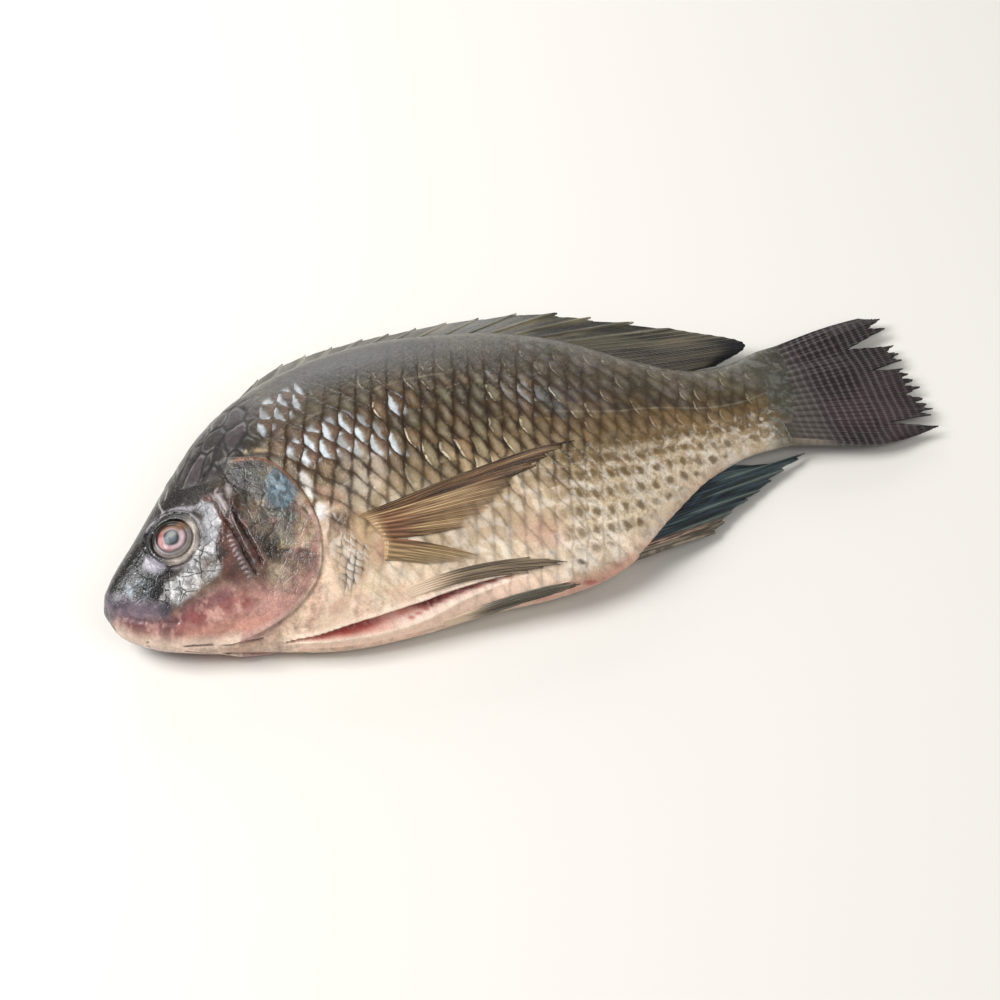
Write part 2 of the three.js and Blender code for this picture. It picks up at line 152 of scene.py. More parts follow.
def arc_at(x, u):
    """s at a place of the skin, read between the lines of the table."""
    i = np.clip(x, 0, len(table_x) - 1.01)
    j = np.clip(u, 0, 1) * (len(table_u) - 1)
    i0, j0 = i.astype(int), np.minimum(j.astype(int), len(table_u) - 2)
    a, b = i - i0, j - j0
    near = mix(arc_table[i0, j0], arc_table[i0, j0 + 1], b)
    return mix(near, mix(arc_table[i0 + 1, j0], arc_table[i0 + 1, j0 + 1], b), a)


def arc_total(x):
    """s on the keel."""
    return np.interp(x, table_x, arc_table[:, -1])


def chance(i, j, seed):
    """A fixed random number from 0 to 1 for each pair of whole numbers."""
    return np.mod(np.sin(i * 127.1 + j * 311.7 + seed * 74.7) * 43758.5453, 1)


def cloud(a, b, size, seed):
    """Soft random values from 0 to 1 that change every size mm."""
    p, q = a / size, b / size
    i, j = np.floor(p), np.floor(q)
    f, g = p - i, q - j
    f, g = f * f * (3 - 2 * f), g * g * (3 - 2 * g)
    near = mix(chance(i, j, seed), chance(i + 1, j, seed), f)
    return mix(near, mix(chance(i, j + 1, seed), chance(i + 1, j + 1, seed), f), g)


def clouds(a, b, size, seed):
    """Soft random values with detail down to an eighth of size."""
    total = sum(cloud(a, b, size / 2 ** k, seed + k) / 2 ** k for k in range(4))
    return total / 1.875


def cracks(a, b, size, seed):
    """Uneven plates: the distance to the nearest border between two plates, and each plate's number."""
    p, q = a / size, b / size
    i, j = np.floor(p), np.floor(q)
    first = np.full(p.shape, 9.0)
    second = np.full(p.shape, 9.0)
    number = np.zeros(p.shape)
    for di in (-1, 0, 1):
        for dj in (-1, 0, 1):
            m, n = i + di, j + dj
            far = np.hypot(m + chance(m, n, seed) - p, n + chance(m, n, seed + 5) - q)
            second = np.where(far < first, first, np.minimum(second, far))
            number = np.where(far < first, chance(m, n, seed + 9), number)
            first = np.minimum(first, far)
    return (second - first) * size / 2, number


def path(points, count):
    """A smooth line through points, as count points along it."""
    knots = np.array(points, float)
    at = np.linspace(0, 1, len(knots))
    t = np.linspace(0, 1, count)
    return np.stack([smooth(np.stack([at, column], 1))(t) for column in knots.T], 1)


def stroke(x, s, points, width, soft=0.5):
    """1 on a smooth line over the unrolled skin, falling softly to 0 at width mm from it."""
    line = path(points, 8 * len(points))
    far = np.full(x.shape, 99.0)
    low, high = line.min(0) - width, line.max(0) + width
    near = (x > low[0]) & (x < high[0]) & (s > low[1]) & (s < high[1])
    p, q = x[near], s[near]
    best = np.full(p.shape, 99.0)
    for (ax, ay), (bx, by) in zip(line[:-1], line[1:]):
        dx, dy = bx - ax, by - ay
        t = np.clip(((p - ax) * dx + (q - ay) * dy) / (dx * dx + dy * dy + 1e-9), 0, 1)
        best = np.minimum(best, np.hypot(p - ax - t * dx, q - ay - t * dy))
    far[near] = best
    return fall(width * (1 - soft), width, far)


def blob(x, s, centre, size, turn=0.0, soft=0.4):
    """1 inside an ellipse on the unrolled skin, falling to 0 round its edge."""
    c, n = np.cos(np.radians(turn)), np.sin(np.radians(turn))
    dx, ds = x - centre[0], s - centre[1]
    far = np.hypot((dx * c + ds * n) / size[0], (ds * c - dx * n) / size[1])
    return fall(1 - soft, 1 + soft, far)


def region(x, s, corners, soft):
    """1 inside a shape with these corners on the unrolled skin, falling to 0 over soft mm."""
    line = np.array(corners, float)
    inside = np.zeros(x.shape, bool)
    far = np.full(x.shape, 99.0)
    for (ax, ay), (bx, by) in zip(line, np.roll(line, -1, 0)):
        dx, dy = bx - ax, by - ay
        t = np.clip(((x - ax) * dx + (s - ay) * dy) / (dx * dx + dy * dy), 0, 1)
        far = np.minimum(far, np.hypot(x - ax - t * dx, s - ay - t * dy))
        crosses = (ay > s) != (by > s)
        inside ^= crosses & (x < ax + (s - ay) * dx / (dy if dy else 1e-9))
    return rise(-soft, soft, np.where(inside, far, -far))


def linear(colour):
    """A colour written as sRGB hex, as linear light."""
    part = np.array([int(colour[i:i + 2], 16) / 255 for i in (1, 3, 5)])
    return np.where(part <= 0.04045, part / 12.92, ((part + 0.055) / 1.055) ** 2.4)


def paint(base, colour, amount):
    """Colours with another one laid over them as far as amount says."""
    return mix(base, linear(colour), np.clip(amount, 0, 1)[..., None])


def ramp(value, stops):
    """Colours along a line of [value, hex] stops."""
    at = [stop[0] for stop in stops]
    parts = np.array([linear(stop[1]) for stop in stops])
    return np.stack([np.interp(value, at, parts[:, k]) for k in range(3)], -1)


def close_to(value, centre, width):
    """1 where a value is at the centre, falling to almost nothing two widths away."""
    return np.exp(-((value - centre) / width) ** 2)


def patches(a, b, size, seed, low, high):
    """Soft patches of about size mm: 0 where the clouds stay under low, 1 where they pass high."""
    return rise(low, high, clouds(a, b, size, seed))


def span(value, edges):
    """Rises between the first two edges and falls between the last two."""
    return rise(edges[0], edges[1], value) * fall(edges[2], edges[3], value)


def shade(base, light):
    return base * light[..., None]


# The scales lie in rows along the flank, each row half a scale behind the next. The middle row
# follows the body's axis, and the columns of scales lean a little. A scale shows a leaf shape that is
# twice as tall as long.
SCALE_POINT, SCALE_ROUND = 0.5, 1.05  # how far a free edge reaches back, in scales, and how blunt it is
LEAN = 0.13  # of a scale, from row to row
scale_length = smooth([[0, 9], [60, 9], [112, 7.9], [150, 6.9], [200, 6.6], [230, 6.8], [260, 6.4],
                       [302, 5.8]])
row_height = smooth([[0, 7], [95, 6.8], [112, 7.4], [135, 8.8], [160, 9.2], [200, 8.2], [222, 7.6],
                     [250, 6.6],
                     [302, 5.4]])
middle_row = smooth([[0, 60], [80, 66], [110, 65], [150, 63.5], [180, 62], [205, 59.5], [217.5, 55.6],
                     [230, 48.8], [237.5, 43], [260, 31], [290, 25.5], [302, 25], [318, 25]])
scales_before = np.concatenate([[0], np.cumsum(1 / scale_length(table_x[:-1] + 0.5))])


def lattice(x, s, size=1.0):
    """How many scales lie before a place, and how many rows it is from the middle row."""
    across = (s - middle_row(x)) / (row_height(x) * size)
    return np.interp(x, table_x, scales_before) / size - LEAN * across, across


def scales(x, s, size=1.0):
    """Overlapping scales, each with a blunt point at its free edge. Gives, in scales, how far a place
    lies behind the edge of the scale on top and ahead of its own scale's edge, and a fixed chance."""
    along, across = lattice(x, s, size)
    top = np.full(x.shape, 1e6)
    over = np.full(x.shape, -1e6)
    edge, row_of = np.zeros(x.shape), np.zeros(x.shape)
    for near in (-1, 0, 1):
        row = np.round(across) + near
        off = np.abs(across - row)
        point = SCALE_POINT * (1 - np.clip(off, 0, 1) ** SCALE_ROUND)
        shift = 0.5 * np.mod(row, 2)
        centre = np.ceil(along - point - shift) + shift
        there = off < 1
        over = np.where(there, np.maximum(over, centre + point - 1), over)
        on_top = there & (centre < top)
        top = np.where(on_top, centre, top)
        edge = np.where(on_top, centre + point, edge)
        row_of = np.where(on_top, row, row_of)
    return along - over, edge - along, chance(top * 2, row_of, 1)


# Where the cut in the belly opens, as s along x.
upper_lip = smooth([[66, 121.4], [80, 130.9], [100, 137.7], [118, 140.3], [140, 139.9], [168, 137.6]])
lower_lip = smooth([[66, 121.9], [84, 136.8], [106, 146.9], [122, 148.3], [142, 144.1], [168, 138]])

EYE_X, EYE_U = 34.5, 0.427  # its place on the skin
EYE_RADIUS, EYE_DEPTH, EYE_PROUD = 9.0, 6.0, 1.8


def eye_axes(side):
    """The eye's place on the skin, and its directions: outward, to the tail and to the back."""
    out = outward(np.float64(EYE_X), np.float64(EYE_U), side)
    tail = np.cross(np.cross(out, [1.0, 0, 0]), out)
    tail /= np.linalg.norm(tail)
    return skin(EYE_X, EYE_U, side), out, tail, np.cross(out, tail) * side


def eye_rings(point, side):
    """Distance from the eye's axis in mm, the angle round it, 0 to the tail and 90 to the back, and
    the distance along it."""
    place, out, tail, up = eye_axes(side)
    offset = point - place
    a, b = offset @ tail, offset @ up
    return np.hypot(a, b), np.degrees(np.arctan2(b, a)), offset @ out


# Lines and areas on the unrolled skin, as [x, s], from the snout to the tail.
MOUTH = [[0.5, 8.5], [3, 17], [5.8, 23.2], [9, 29.6], [13, 36.7], [20.3, 49.6], [28, 60.5]]
UPPER_LIP = [[1, 4.6], [4, 13.5], [7, 19.8], [12.8, 29.6], [18, 39], [23.3, 48.6]]
LOWER_LIP = [[1.2, 12.5], [4, 22], [8, 31], [15, 43.5], [22, 55]]
GULAR = [[13, 49], [25, 69], [36, 84], [46.7, 98.5], [58, 111]]
FOLD_ONE = [[57.2, 58], [58.6, 64], [59.6, 72], [61.2, 82], [62.5, 88]]
FOLD_TWO = [[61.6, 58], [62.6, 63], [64, 73], [65.8, 86.5]]
LINE_UPPER = [[80, 47], [110, 47], [125, 46], [145, 43.5], [165, 41.3]]
CHEEK = [[22, 44], [27, 43.5], [33, 49], [40, 52.6], [46, 52], [48.6, 46], [47.4, 39.5], [51, 40], [54, 44],
         [55.2, 50], [55.8, 57], [53, 66], [49.5, 72], [44, 68], [38, 63], [31, 57], [26, 51]]
FOLDS = [[50, 62], [55, 57], [63, 57], [65, 62], [67, 76], [68, 88], [65, 98], [59, 93], [54, 84], [49, 74]]
GILL_PLATE = [[57, 30], [70, 41.6], [80, 52.1], [88, 67.3], [92, 83.8], [92, 97], [87, 109.9], [76, 114],
              [64, 110.7], [54, 104], [60, 96], [66, 92], [67, 84], [65, 70], [62, 58]]
FACE = [[-5, -9], [37, -9], [40, 17], [52, 33], [60, 40], [70, 42], [80, 52], [88, 67], [92, 84], [94, 97],
        [92, 112], [86, 124], [70, 130], [-5, 140]]
SNOUT = [[-3, -9], [37, -9], [36, 16], [30, 18], [28, 27], [30, 39], [33, 46], [28, 43.5], [24, 45],
         [18, 38],
         [12.8, 29], [7, 19.4], [3, 10], [-1, 3]]
BRIGHT_BONE = [[19.8, 25], [22.5, 23.5], [25.6, 28.5], [29, 36], [28.2, 38.5], [24, 34]]
BROW = [[26, 15.5], [31, 18], [36, 22.5], [40, 28], [44, 34.5], [48, 39.5]]
JAW = [[1, 9.5], [6, 24.2], [13, 38], [20.3, 50.6], [31, 60], [42, 71.5], [50, 80], [58, 89], [66, 98],
       [75, 110],
       [75, 116], [62, 112], [50, 103], [36, 86], [24, 70], [10, 46], [2, 25]]
LADDER = [[57, 64], [57.6, 72], [58.6, 79], [59.8, 86]]
RIDGE = [[60.4, 60], [61.2, 68], [62.4, 77], [63.6, 84]]
TENDON = [[56.8, 45], [58.2, 50], [59.2, 56]]
# The pale marks are painted highlights on the crests of small ribs before the gill cover.
RIB_GAP = 2.1  # mm from one pale gill mark to the next
BRUISE = [[77, 64], [80, 59.5], [84, 59], [88.2, 66], [89.8, 75], [86, 79], [80, 76], [76.5, 70]]
GILL_CREASES = ([[82.5, 75.5], [86.5, 79], [89.5, 86]], [[73.5, 87], [77, 92], [80.5, 94], [85.5, 101]],
                [[80, 63], [81, 69]], [[70, 64], [74, 70], [80, 76]])
GILL_RIM = [[63, 36], [70, 42], [76, 47.5], [83, 55.5], [88, 66], [91.2, 77], [92, 84]]
MEMBRANE = [[93.4, 84], [98.6, 86], [98.4, 92], [94.5, 98], [92, 105], [92, 115], [95, 126], [94, 137],
            [80, 131],
            [66, 122], [58, 114], [76, 113], [87, 108], [91, 98]]
WHITE_UPPER = [[91, 67], [93.6, 68], [95.6, 76], [95, 82], [93, 82], [91.6, 76]]
WHITE_LOWER = [[92.6, 85], [95, 84.5], [97.4, 88], [96.4, 92.4], [93.6, 92]]
TINY_PATCH = [[93, 108], [97, 100], [104, 102], [110, 110], [109, 119], [98, 124], [91, 129]]
TINY_SIZE = 0.42  # of the scales round the patch
FLASH_NAPE = [[82, 31], [88, 26], [104, 25], [106, 36], [99, 43], [82, 43]]
FLASH_SHOULDER = [[89, 56], [98, 52], [117, 51], [125, 58], [134, 70], [136, 80], [123, 76], [111, 71],
                  [96, 67]]
FLASH_FLANK = [[178, 38], [186, 36], [197, 46], [206, 70], [214, 84], [204, 88], [194, 68], [184, 52]]
CUT_FROM, CUT_TO = 66, 168  # mm from the snout
# Fine pale threads of slime and torn skin that stick to the nape and the brow.
THREADS = ([[56.1, 13.4], [51.4, 13.8], [46, 11], [41, 11.9], [36.9, 16.5]],
           [[55.5, 6], [55.9, 18.9], [58.3, 25.9], [60.7, 25.5]],
           [[48.8, 18.9], [46.3, 17.4], [46, 22.1], [48.4, 27.5], [50.3, 27.1]],
           [[35.6, 8.3], [34, 13.6], [34.4, 20.7]])


def astray(x, s, point):
    """A place of the head moved by a few mm, so that what is drawn there wanders from its lines."""
    hx, hy = point[..., 0], point[..., 1]
    return x + 2.4 * (clouds(hx, hy, 7, 28) - 0.5), s + 3.0 * (clouds(hx, hy, 7, 29) - 0.5)


def face_look(x, s, point, side):
    """Colour and height of the bare face, and how much of it is cracked, jaw and snout. Its shapes lie
    on the unrolled skin, and its clouds on the head as seen from above."""
    hx, hy = point[..., 0], point[..., 1]
    fx, fs = astray(x, s, point)
    head = ramp(fs, [[0, "#1b1815"], [26, "#1d1916"], [40, "#2c251f"], [52, "#44392f"], [75, "#6b5747"],
                     [95, "#a08068"], [120, "#d4b8a4"]])
    head = shade(head, 0.7 + 0.6 * clouds(hx, hy, 9, 31))

    # The gill cover: brown, olive and pinkish patches on thin bone.
    plates, plate_dice = cracks(hx + 3 * clouds(hx, hy, 6, 34), hy + 2 * clouds(hx, hy, 5, 36), 5.2, 35)
    cover = region(fx, fs, GILL_PLATE, 2.5)
    gill = ramp(clouds(hx, hy, 9, 37), [[0.32, "#261f19"], [0.43, "#45392e"], [0.54, "#6b5949"],
                                        [0.68, "#94836d"]])
    gill = paint(gill, "#85774a", 0.5 * patches(hx, hy, 8, 38, 0.5, 0.75) * rise(80, 92, s))
    gill = paint(gill, "#a67c6c", 0.5 * patches(hx, hy, 7, 40, 0.55, 0.75) * rise(60, 75, s))
    gill = paint(gill, "#2b231c", 0.85 * fall(48, 64, s + 0.2 * (x - 70)))
    gill = shade(gill, 0.78 + 0.4 * plate_dice)
    gill = paint(gill, "#241a14", 0.45 * close_to(plates, 0, 0.4) * patches(hx, hy, 8, 39, 0.4, 0.6))
    gill = paint(gill, "#5d6153", 0.45 * patches(hx, hy, 5, 99, 0.56, 0.7))
    gill = paint(gill, "#7d4f43", 0.4 * patches(hx, hy, 4, 101, 0.58, 0.7) * rise(70, 86, x))
    head = mix(head, gill, cover[..., None])
    height = 0.12 * cover * (1 - close_to(plates, 0, 0.8)) * (0.4 + 0.8 * plate_dice)

    # Silver cheek, wrinkled and cracked over the bone, smooth and bluish at its top.
    cheek = region(x + 1.6 * (fx - x), s + 1.6 * (fs - s), CHEEK, 1.4)
    wrinkle, wrinkle_dice = cracks(hx * 1.1 + 3 * clouds(hx, hy, 7, 41),
                                   hy * 0.9 + 2 * clouds(hx, hy, 7, 42),
                                   3.6, 43)
    smoother = blob(x, s, (51, 50), (5, 12), 0, 0.5)
    silver = ramp(clouds(hx, hy, 5, 44), [[0.3, "#85827e"], [0.5, "#b5b3b0"], [0.7, "#dad9d7"]])
    silver = shade(silver, 0.72 + 0.5 * wrinkle_dice)
    silver = paint(silver, "#9b9ba1", 0.6 * smoother)
    silver = paint(silver, "#2c2420", (0.5 - 0.3 * smoother) * close_to(wrinkle, 0, 0.36)
                   * patches(hx, hy, 5, 48, 0.3, 0.5))
    silver = paint(silver, "#6b5646", 0.7 * rise(54, 66, s) * patches(hx, hy, 5, 45, 0.45, 0.65))
    head = mix(head, silver, cheek[..., None])
    height = height + (0.6 - 0.4 * smoother) * cheek * (1 - close_to(wrinkle, 0, 0.8)) * (0.5 + wrinkle_dice)

    # The dark red brown folds before the gill cover: two ridges, and a row of small ribs. The pale bars
    # on the ribs are painted highlights, and the grey along the raised ridge is partly pale bone, partly
    # painted highlight.
    folds = region(fx, fs, FOLDS, 1.6)
    head = paint(head, "#3f2c2b", 0.8 * folds)
    head = paint(head, "#5e3c33", 0.7 * folds * patches(hx, hy, 4, 46, 0.45, 0.65))
    ribs = 0.5 + 0.5 * np.cos(2 * np.pi * (s - 0.5 * x + 2.5 * clouds(hx, hy, 4, 47)) / RIB_GAP)
    ladder = stroke(x, s, LADDER, 1.6, 0.9) * (0.4 + 0.6 * clouds(hx, hy, 3, 49))
    # Pale bars on the crests of the ribs: painted highlights.
    head = paint(head, "#b3a3a6", 0.7 * ladder * ribs ** 2)
    one, two = stroke(fx, s, FOLD_ONE, 0.7, 0.9), stroke(fx, s, FOLD_TWO, 0.8, 0.9)
    ridge = stroke(x, s, RIDGE, 1.3, 0.9)
    # Grey along the raised ridge: partly pale bone, partly painted highlight.
    head = paint(head, "#82787a", 0.7 * ridge * patches(hx, hy, 3, 50, 0.35, 0.65))
    head = paint(head, "#140e0d", 0.9 * np.maximum(one, two))
    head = paint(head, "#4a2416", 0.85 * stroke(fx, fs, [[52, 41], [54.6, 46], [55.8, 53], [56.4, 60]], 1.2))
    head = paint(head, "#b3a3a6", 0.7 * stroke(fx, fs, TENDON, 1.5, 0.9) * patches(hx, hy, 3, 60, 0.25, 0.5))
    head = paint(head, "#2e1712", 0.9 * blob(fx, fs, (62.4, 57.5), (1.4, 2.8), 0, 0.4))
    head = paint(head, "#a89c9c", 0.55 * blob(fx, fs, (61.7, 50), (1.4, 2.6), 0, 0.6))
    height = height + 0.5 * ladder * ribs + 1.1 * ridge - 1.0 * one - 1.2 * two
    height = height + 1.2 * blob(fx, fs, (62.6, 58), (1.8, 3), 0, 0.6) + 0.9 * stroke(fx, fs, TENDON, 2.0,
                                                                                      0.9)

    # Snout: black and glossy, with grey blue patches of painted sheen on the wet skin.
    snout = region(fx, fs, SNOUT, 1.2)
    sheen_patches = patches(hx, hy, 3, 51, 0.5, 0.7)
    head = paint(head, "#100f0e", 0.96 * snout)
    # Grey blue patches on the snout: painted sheen.
    head = paint(head, "#74808c", 0.5 * snout * sheen_patches * blob(x, s, (14.5, 28), (3.4, 9), -28, 0.7))
    head = paint(head, "#8f969c", 0.5 * snout * sheen_patches * blob(x, s, (10, 23), (2, 5), -28, 0.7))
    head = paint(head, "#948f99", 0.85 * region(fx, fs, BRIGHT_BONE, 1.0))
    brow = stroke(x + 0.7 * (fx - x), fs, BROW, 1.0, 0.9)
    head = paint(head, "#99949b", 0.7 * brow * patches(hx, hy, 4, 59, 0.3, 0.5))
    for thread in THREADS:
        head = paint(head, "#a5a2a0", 0.75 * stroke(x, s, thread, 0.5, 0.8))

    # Lips, greyish pink above, cream and red below, and the red jaw.
    jaw = region(fx, fs, JAW, 4)
    head = paint(head, "#ae8277", jaw)
    head = paint(head, "#6f484c", 0.8 * stroke(fx, fs,
                                               [[6, 25], [14, 39.5], [21, 51.5], [30, 61.5], [42, 73],
                                                        [51, 82]], 3.6, 0.95))
    head = paint(head, "#8d4444", 0.7 * stroke(fx, fs,
                                               [[27, 63], [35, 70.5], [42, 78], [49, 85.5], [57, 92]],
                                               5.0, 1) * patches(hx, hy, 6, 53, 0.3, 0.6))
    head = paint(head, "#e0b3a4", 0.5 * jaw * patches(hx, hy, 4, 89, 0.56, 0.7))
    head = paint(head, "#6f4644", 0.4 * jaw * patches(hx, hy, 3, 96, 0.58, 0.72))
    head = paint(head, "#c8907e", 0.6 * jaw * stroke(fx, fs, [[26, 69], [38, 82], [50, 96], [62, 107]], 4.2,
                                                     0.9))
    head = paint(head, "#dfc6b3", 0.9 * stroke(fx, fs, [[2, 23], [8, 40], [16, 54], [26, 70], [38, 87],
                                                        [48, 99]], 3.8, 0.9))
    upper = stroke(fx, fs, [[0, 4.4], [4, 15.6], [8, 23], [13, 32], [19, 42], [25, 51]], 3.4, 0.7)
    head = paint(head, "#6b5f67", 0.85 * upper)
    head = paint(head, "#33323c", 0.6 * upper * patches(hx, hy, 6, 52, 0.42, 0.68))
    mouth = stroke(fx, s, MOUTH, 0.8, 1) * (1 - 0.6 * rise(6, 20, x)) * patches(hx, hy, 5, 33, 0.3, 0.5)
    head = paint(head, "#3b2a2e", 0.7 * mouth)
    gular = stroke(x, fs, GULAR, 0.6, 0.9) * patches(hx, hy, 8, 54, 0.35, 0.5)
    head = paint(head, "#3a2722", 0.8 * gular)
    height = height + 0.5 * stroke(x, s, UPPER_LIP, 3.4, 1) + 0.5 * stroke(x, s, LOWER_LIP, 3.2, 1)
    height = height - 0.6 * stroke(fx, s, MOUTH, 1.2, 1) - 0.5 * gular

    # Blue green bruise and dark creases on the gill cover, and its orange brown edge.
    bruise = region(fx, fs, BRUISE, 1.4)
    head = paint(head, "#36474f", 0.9 * bruise)
    head = paint(head, "#5d7480", 0.6 * bruise * patches(hx, hy, 4, 78, 0.5, 0.7))
    head = paint(head, "#161c20", 0.8 * blob(fx, fs, (86, 64), (1.6, 4), -30, 0.6))
    head = paint(head, "#7c909b", 0.6 * stroke(fx, fs, [[80, 61.5], [81, 66], [83.4, 71]], 1.2, 0.7))
    for crease in GILL_CREASES:
        line = stroke(fx, fs, crease, 0.7, 0.9) * patches(hx, hy, 4, 55, 0.3, 0.5)
        head = paint(head, "#140f0d", 0.8 * line)
        height = height - 0.5 * line
    for at_x, at_s, size in ((73, 73, 2.4), (75, 84, 2.0), (81, 87, 3.2), (66, 50, 3), (72, 56, 3)):
        head = paint(head, "#29231e", 0.65 * blob(fx, fs, (at_x, at_s), (size, size * 1.3), 0, 0.7))
    low_edge = rise(92, 112, fs + 0.35 * (x - 75))
    head = paint(head, "#ab7d74", 0.7 * cover * low_edge * clouds(hx, hy, 9, 56) * 1.5)
    head = paint(head, "#85563e", 0.8 * stroke(x, s, GILL_RIM, 2.3, 0.6) * patches(hx, hy, 5, 32, 0.25, 0.5))
    head = paint(head, "#b29288", 0.8 * stroke(x, s, [[92, 84], [92, 97], [87, 110], [76, 114], [64, 110.5],
                                                      [50, 100.5]], 2.4, 0.7))
    head = paint(head, "#6b3a30", 0.5 * blob(fx, fs, (88, 88), (2.4, 9), -8, 0.7)
                 * patches(hx, hy, 3, 87, 0.3, 0.6))

    # The ring of pale skin round the eye, and the creases outside it.
    ring, turn, off = eye_rings(point, side)
    near_eye = (off > -14) & (ring < 20)
    low_side = rise(-0.15, 0.6, np.cos(np.radians(turn + 42)))
    loose = ring + 1.3 * (clouds(hx, hy, 4, 58) - 0.5)
    around = near_eye * fall(10.4, 11.6, loose)
    head = paint(head, "#968a80", around * low_side * 0.9)
    head = paint(head, "#c6bab0", around * low_side * (0.5 + 0.4 * np.cos(2 * np.pi * loose / 1.1))
                 * rise(8.8, 9.6, loose))
    head = paint(head, "#15120f", around * (1 - low_side) * 0.85)
    broken = patches(hx, hy, 5, 64, 0.3, 0.5)
    head = paint(head, "#1d1815", near_eye * low_side * broken * 0.8 * close_to(loose, 11.4, 0.4))
    # A pale line on the raised rim outside the crease: a painted highlight.
    head = paint(head, "#a5a2a6", near_eye * low_side * broken * 0.35 * close_to(loose, 12.8, 0.8))
    socket = near_eye * (0.55 * close_to(ring, 9.6, 0.9) - 0.5 * broken * close_to(loose, 11.5, 0.5)
                         + 0.25 * close_to(ring, 12.8, 1.0))
    sunk = near_eye * fall(7.9, 8.6, ring)
    bony = np.maximum(0.95 * cheek * (1 - 0.5 * smoother), 0.16 * cover * (1 - bruise))
    cracked = np.maximum(bony, 0.25 * snout) * (1 - around)
    return head, height * (1 - around) + socket, 5.5 * sunk, cracked, jaw, snout


def cut_look(x, s, side):
    """The cut in the left flank: how open it is and how deep, its flesh with a painted shadow under the
    upper lip, its pale lips and the pink flap under it. w runs from 0 at its upper lip to 1 at its lower
    one."""
    here = (x > CUT_FROM) & (x < CUT_TO) & (side == LEFT)
    gap = np.maximum(lower_lip(x) - upper_lip(x), 0.01)
    w = (s - upper_lip(x)) / gap
    inside = here * rise(0.0, 0.16, w) * rise(0.0, 0.16, 1 - w)
    flesh = ramp(clouds(x * 0.3, w * gap, 3, 61), [[0.3, "#bd6257"], [0.5, "#cf8274"], [0.7, "#e2a898"]])
    flesh = paint(flesh, "#a23d37", 0.9 * blob(x, w * 8, (93, 4.9), (13, 1.7), 0, 0.4))
    white_part = rise(0.66, 0.8, w + 0.16 * (clouds(x * 0.4, s, 8, 63) - 0.5)) * rise(100, 120, x)
    flesh = paint(flesh, "#f2d8c8", 0.92 * white_part)
    flesh = paint(flesh, "#b5453f", 0.8 * stroke(x, w * 8, [[116, 6.6], [121, 6.1], [127, 5.6]], 0.5, 0.9))
    dark_to = 0.36 + 0.32 * rise(108, 128, x)
    shadow = fall(dark_to - 0.1, dark_to + 0.1, w + 0.14 * (clouds(x * 0.4, s, 7, 64) - 0.5))
    flesh = paint(flesh, "#6f1b1a", 0.95 * shadow)
    from_lip = np.minimum(np.abs(w), np.abs(1 - w)) * gap
    lip = here * fall(150, 168, x) * close_to(from_lip, 0, 1.6) * (1 - inside)
    below = s - lower_lip(x)
    flap = (side == LEFT) * span(x, (60, 72, 162, 184)) * span(below, (0, 1.2, 8, 14))
    hollow = here * rise(0.0, 0.3, w) * rise(0.0, 0.3, 1 - w) * np.sqrt(np.clip(gap / 9, 0, 1))
    depth = hollow * (5.2 + 1.2 * clouds(x * 0.3, s, 5, 62)) * (1 - 0.6 * rise(0.35, 0.7, w))
    return inside, depth, flesh, lip, flap


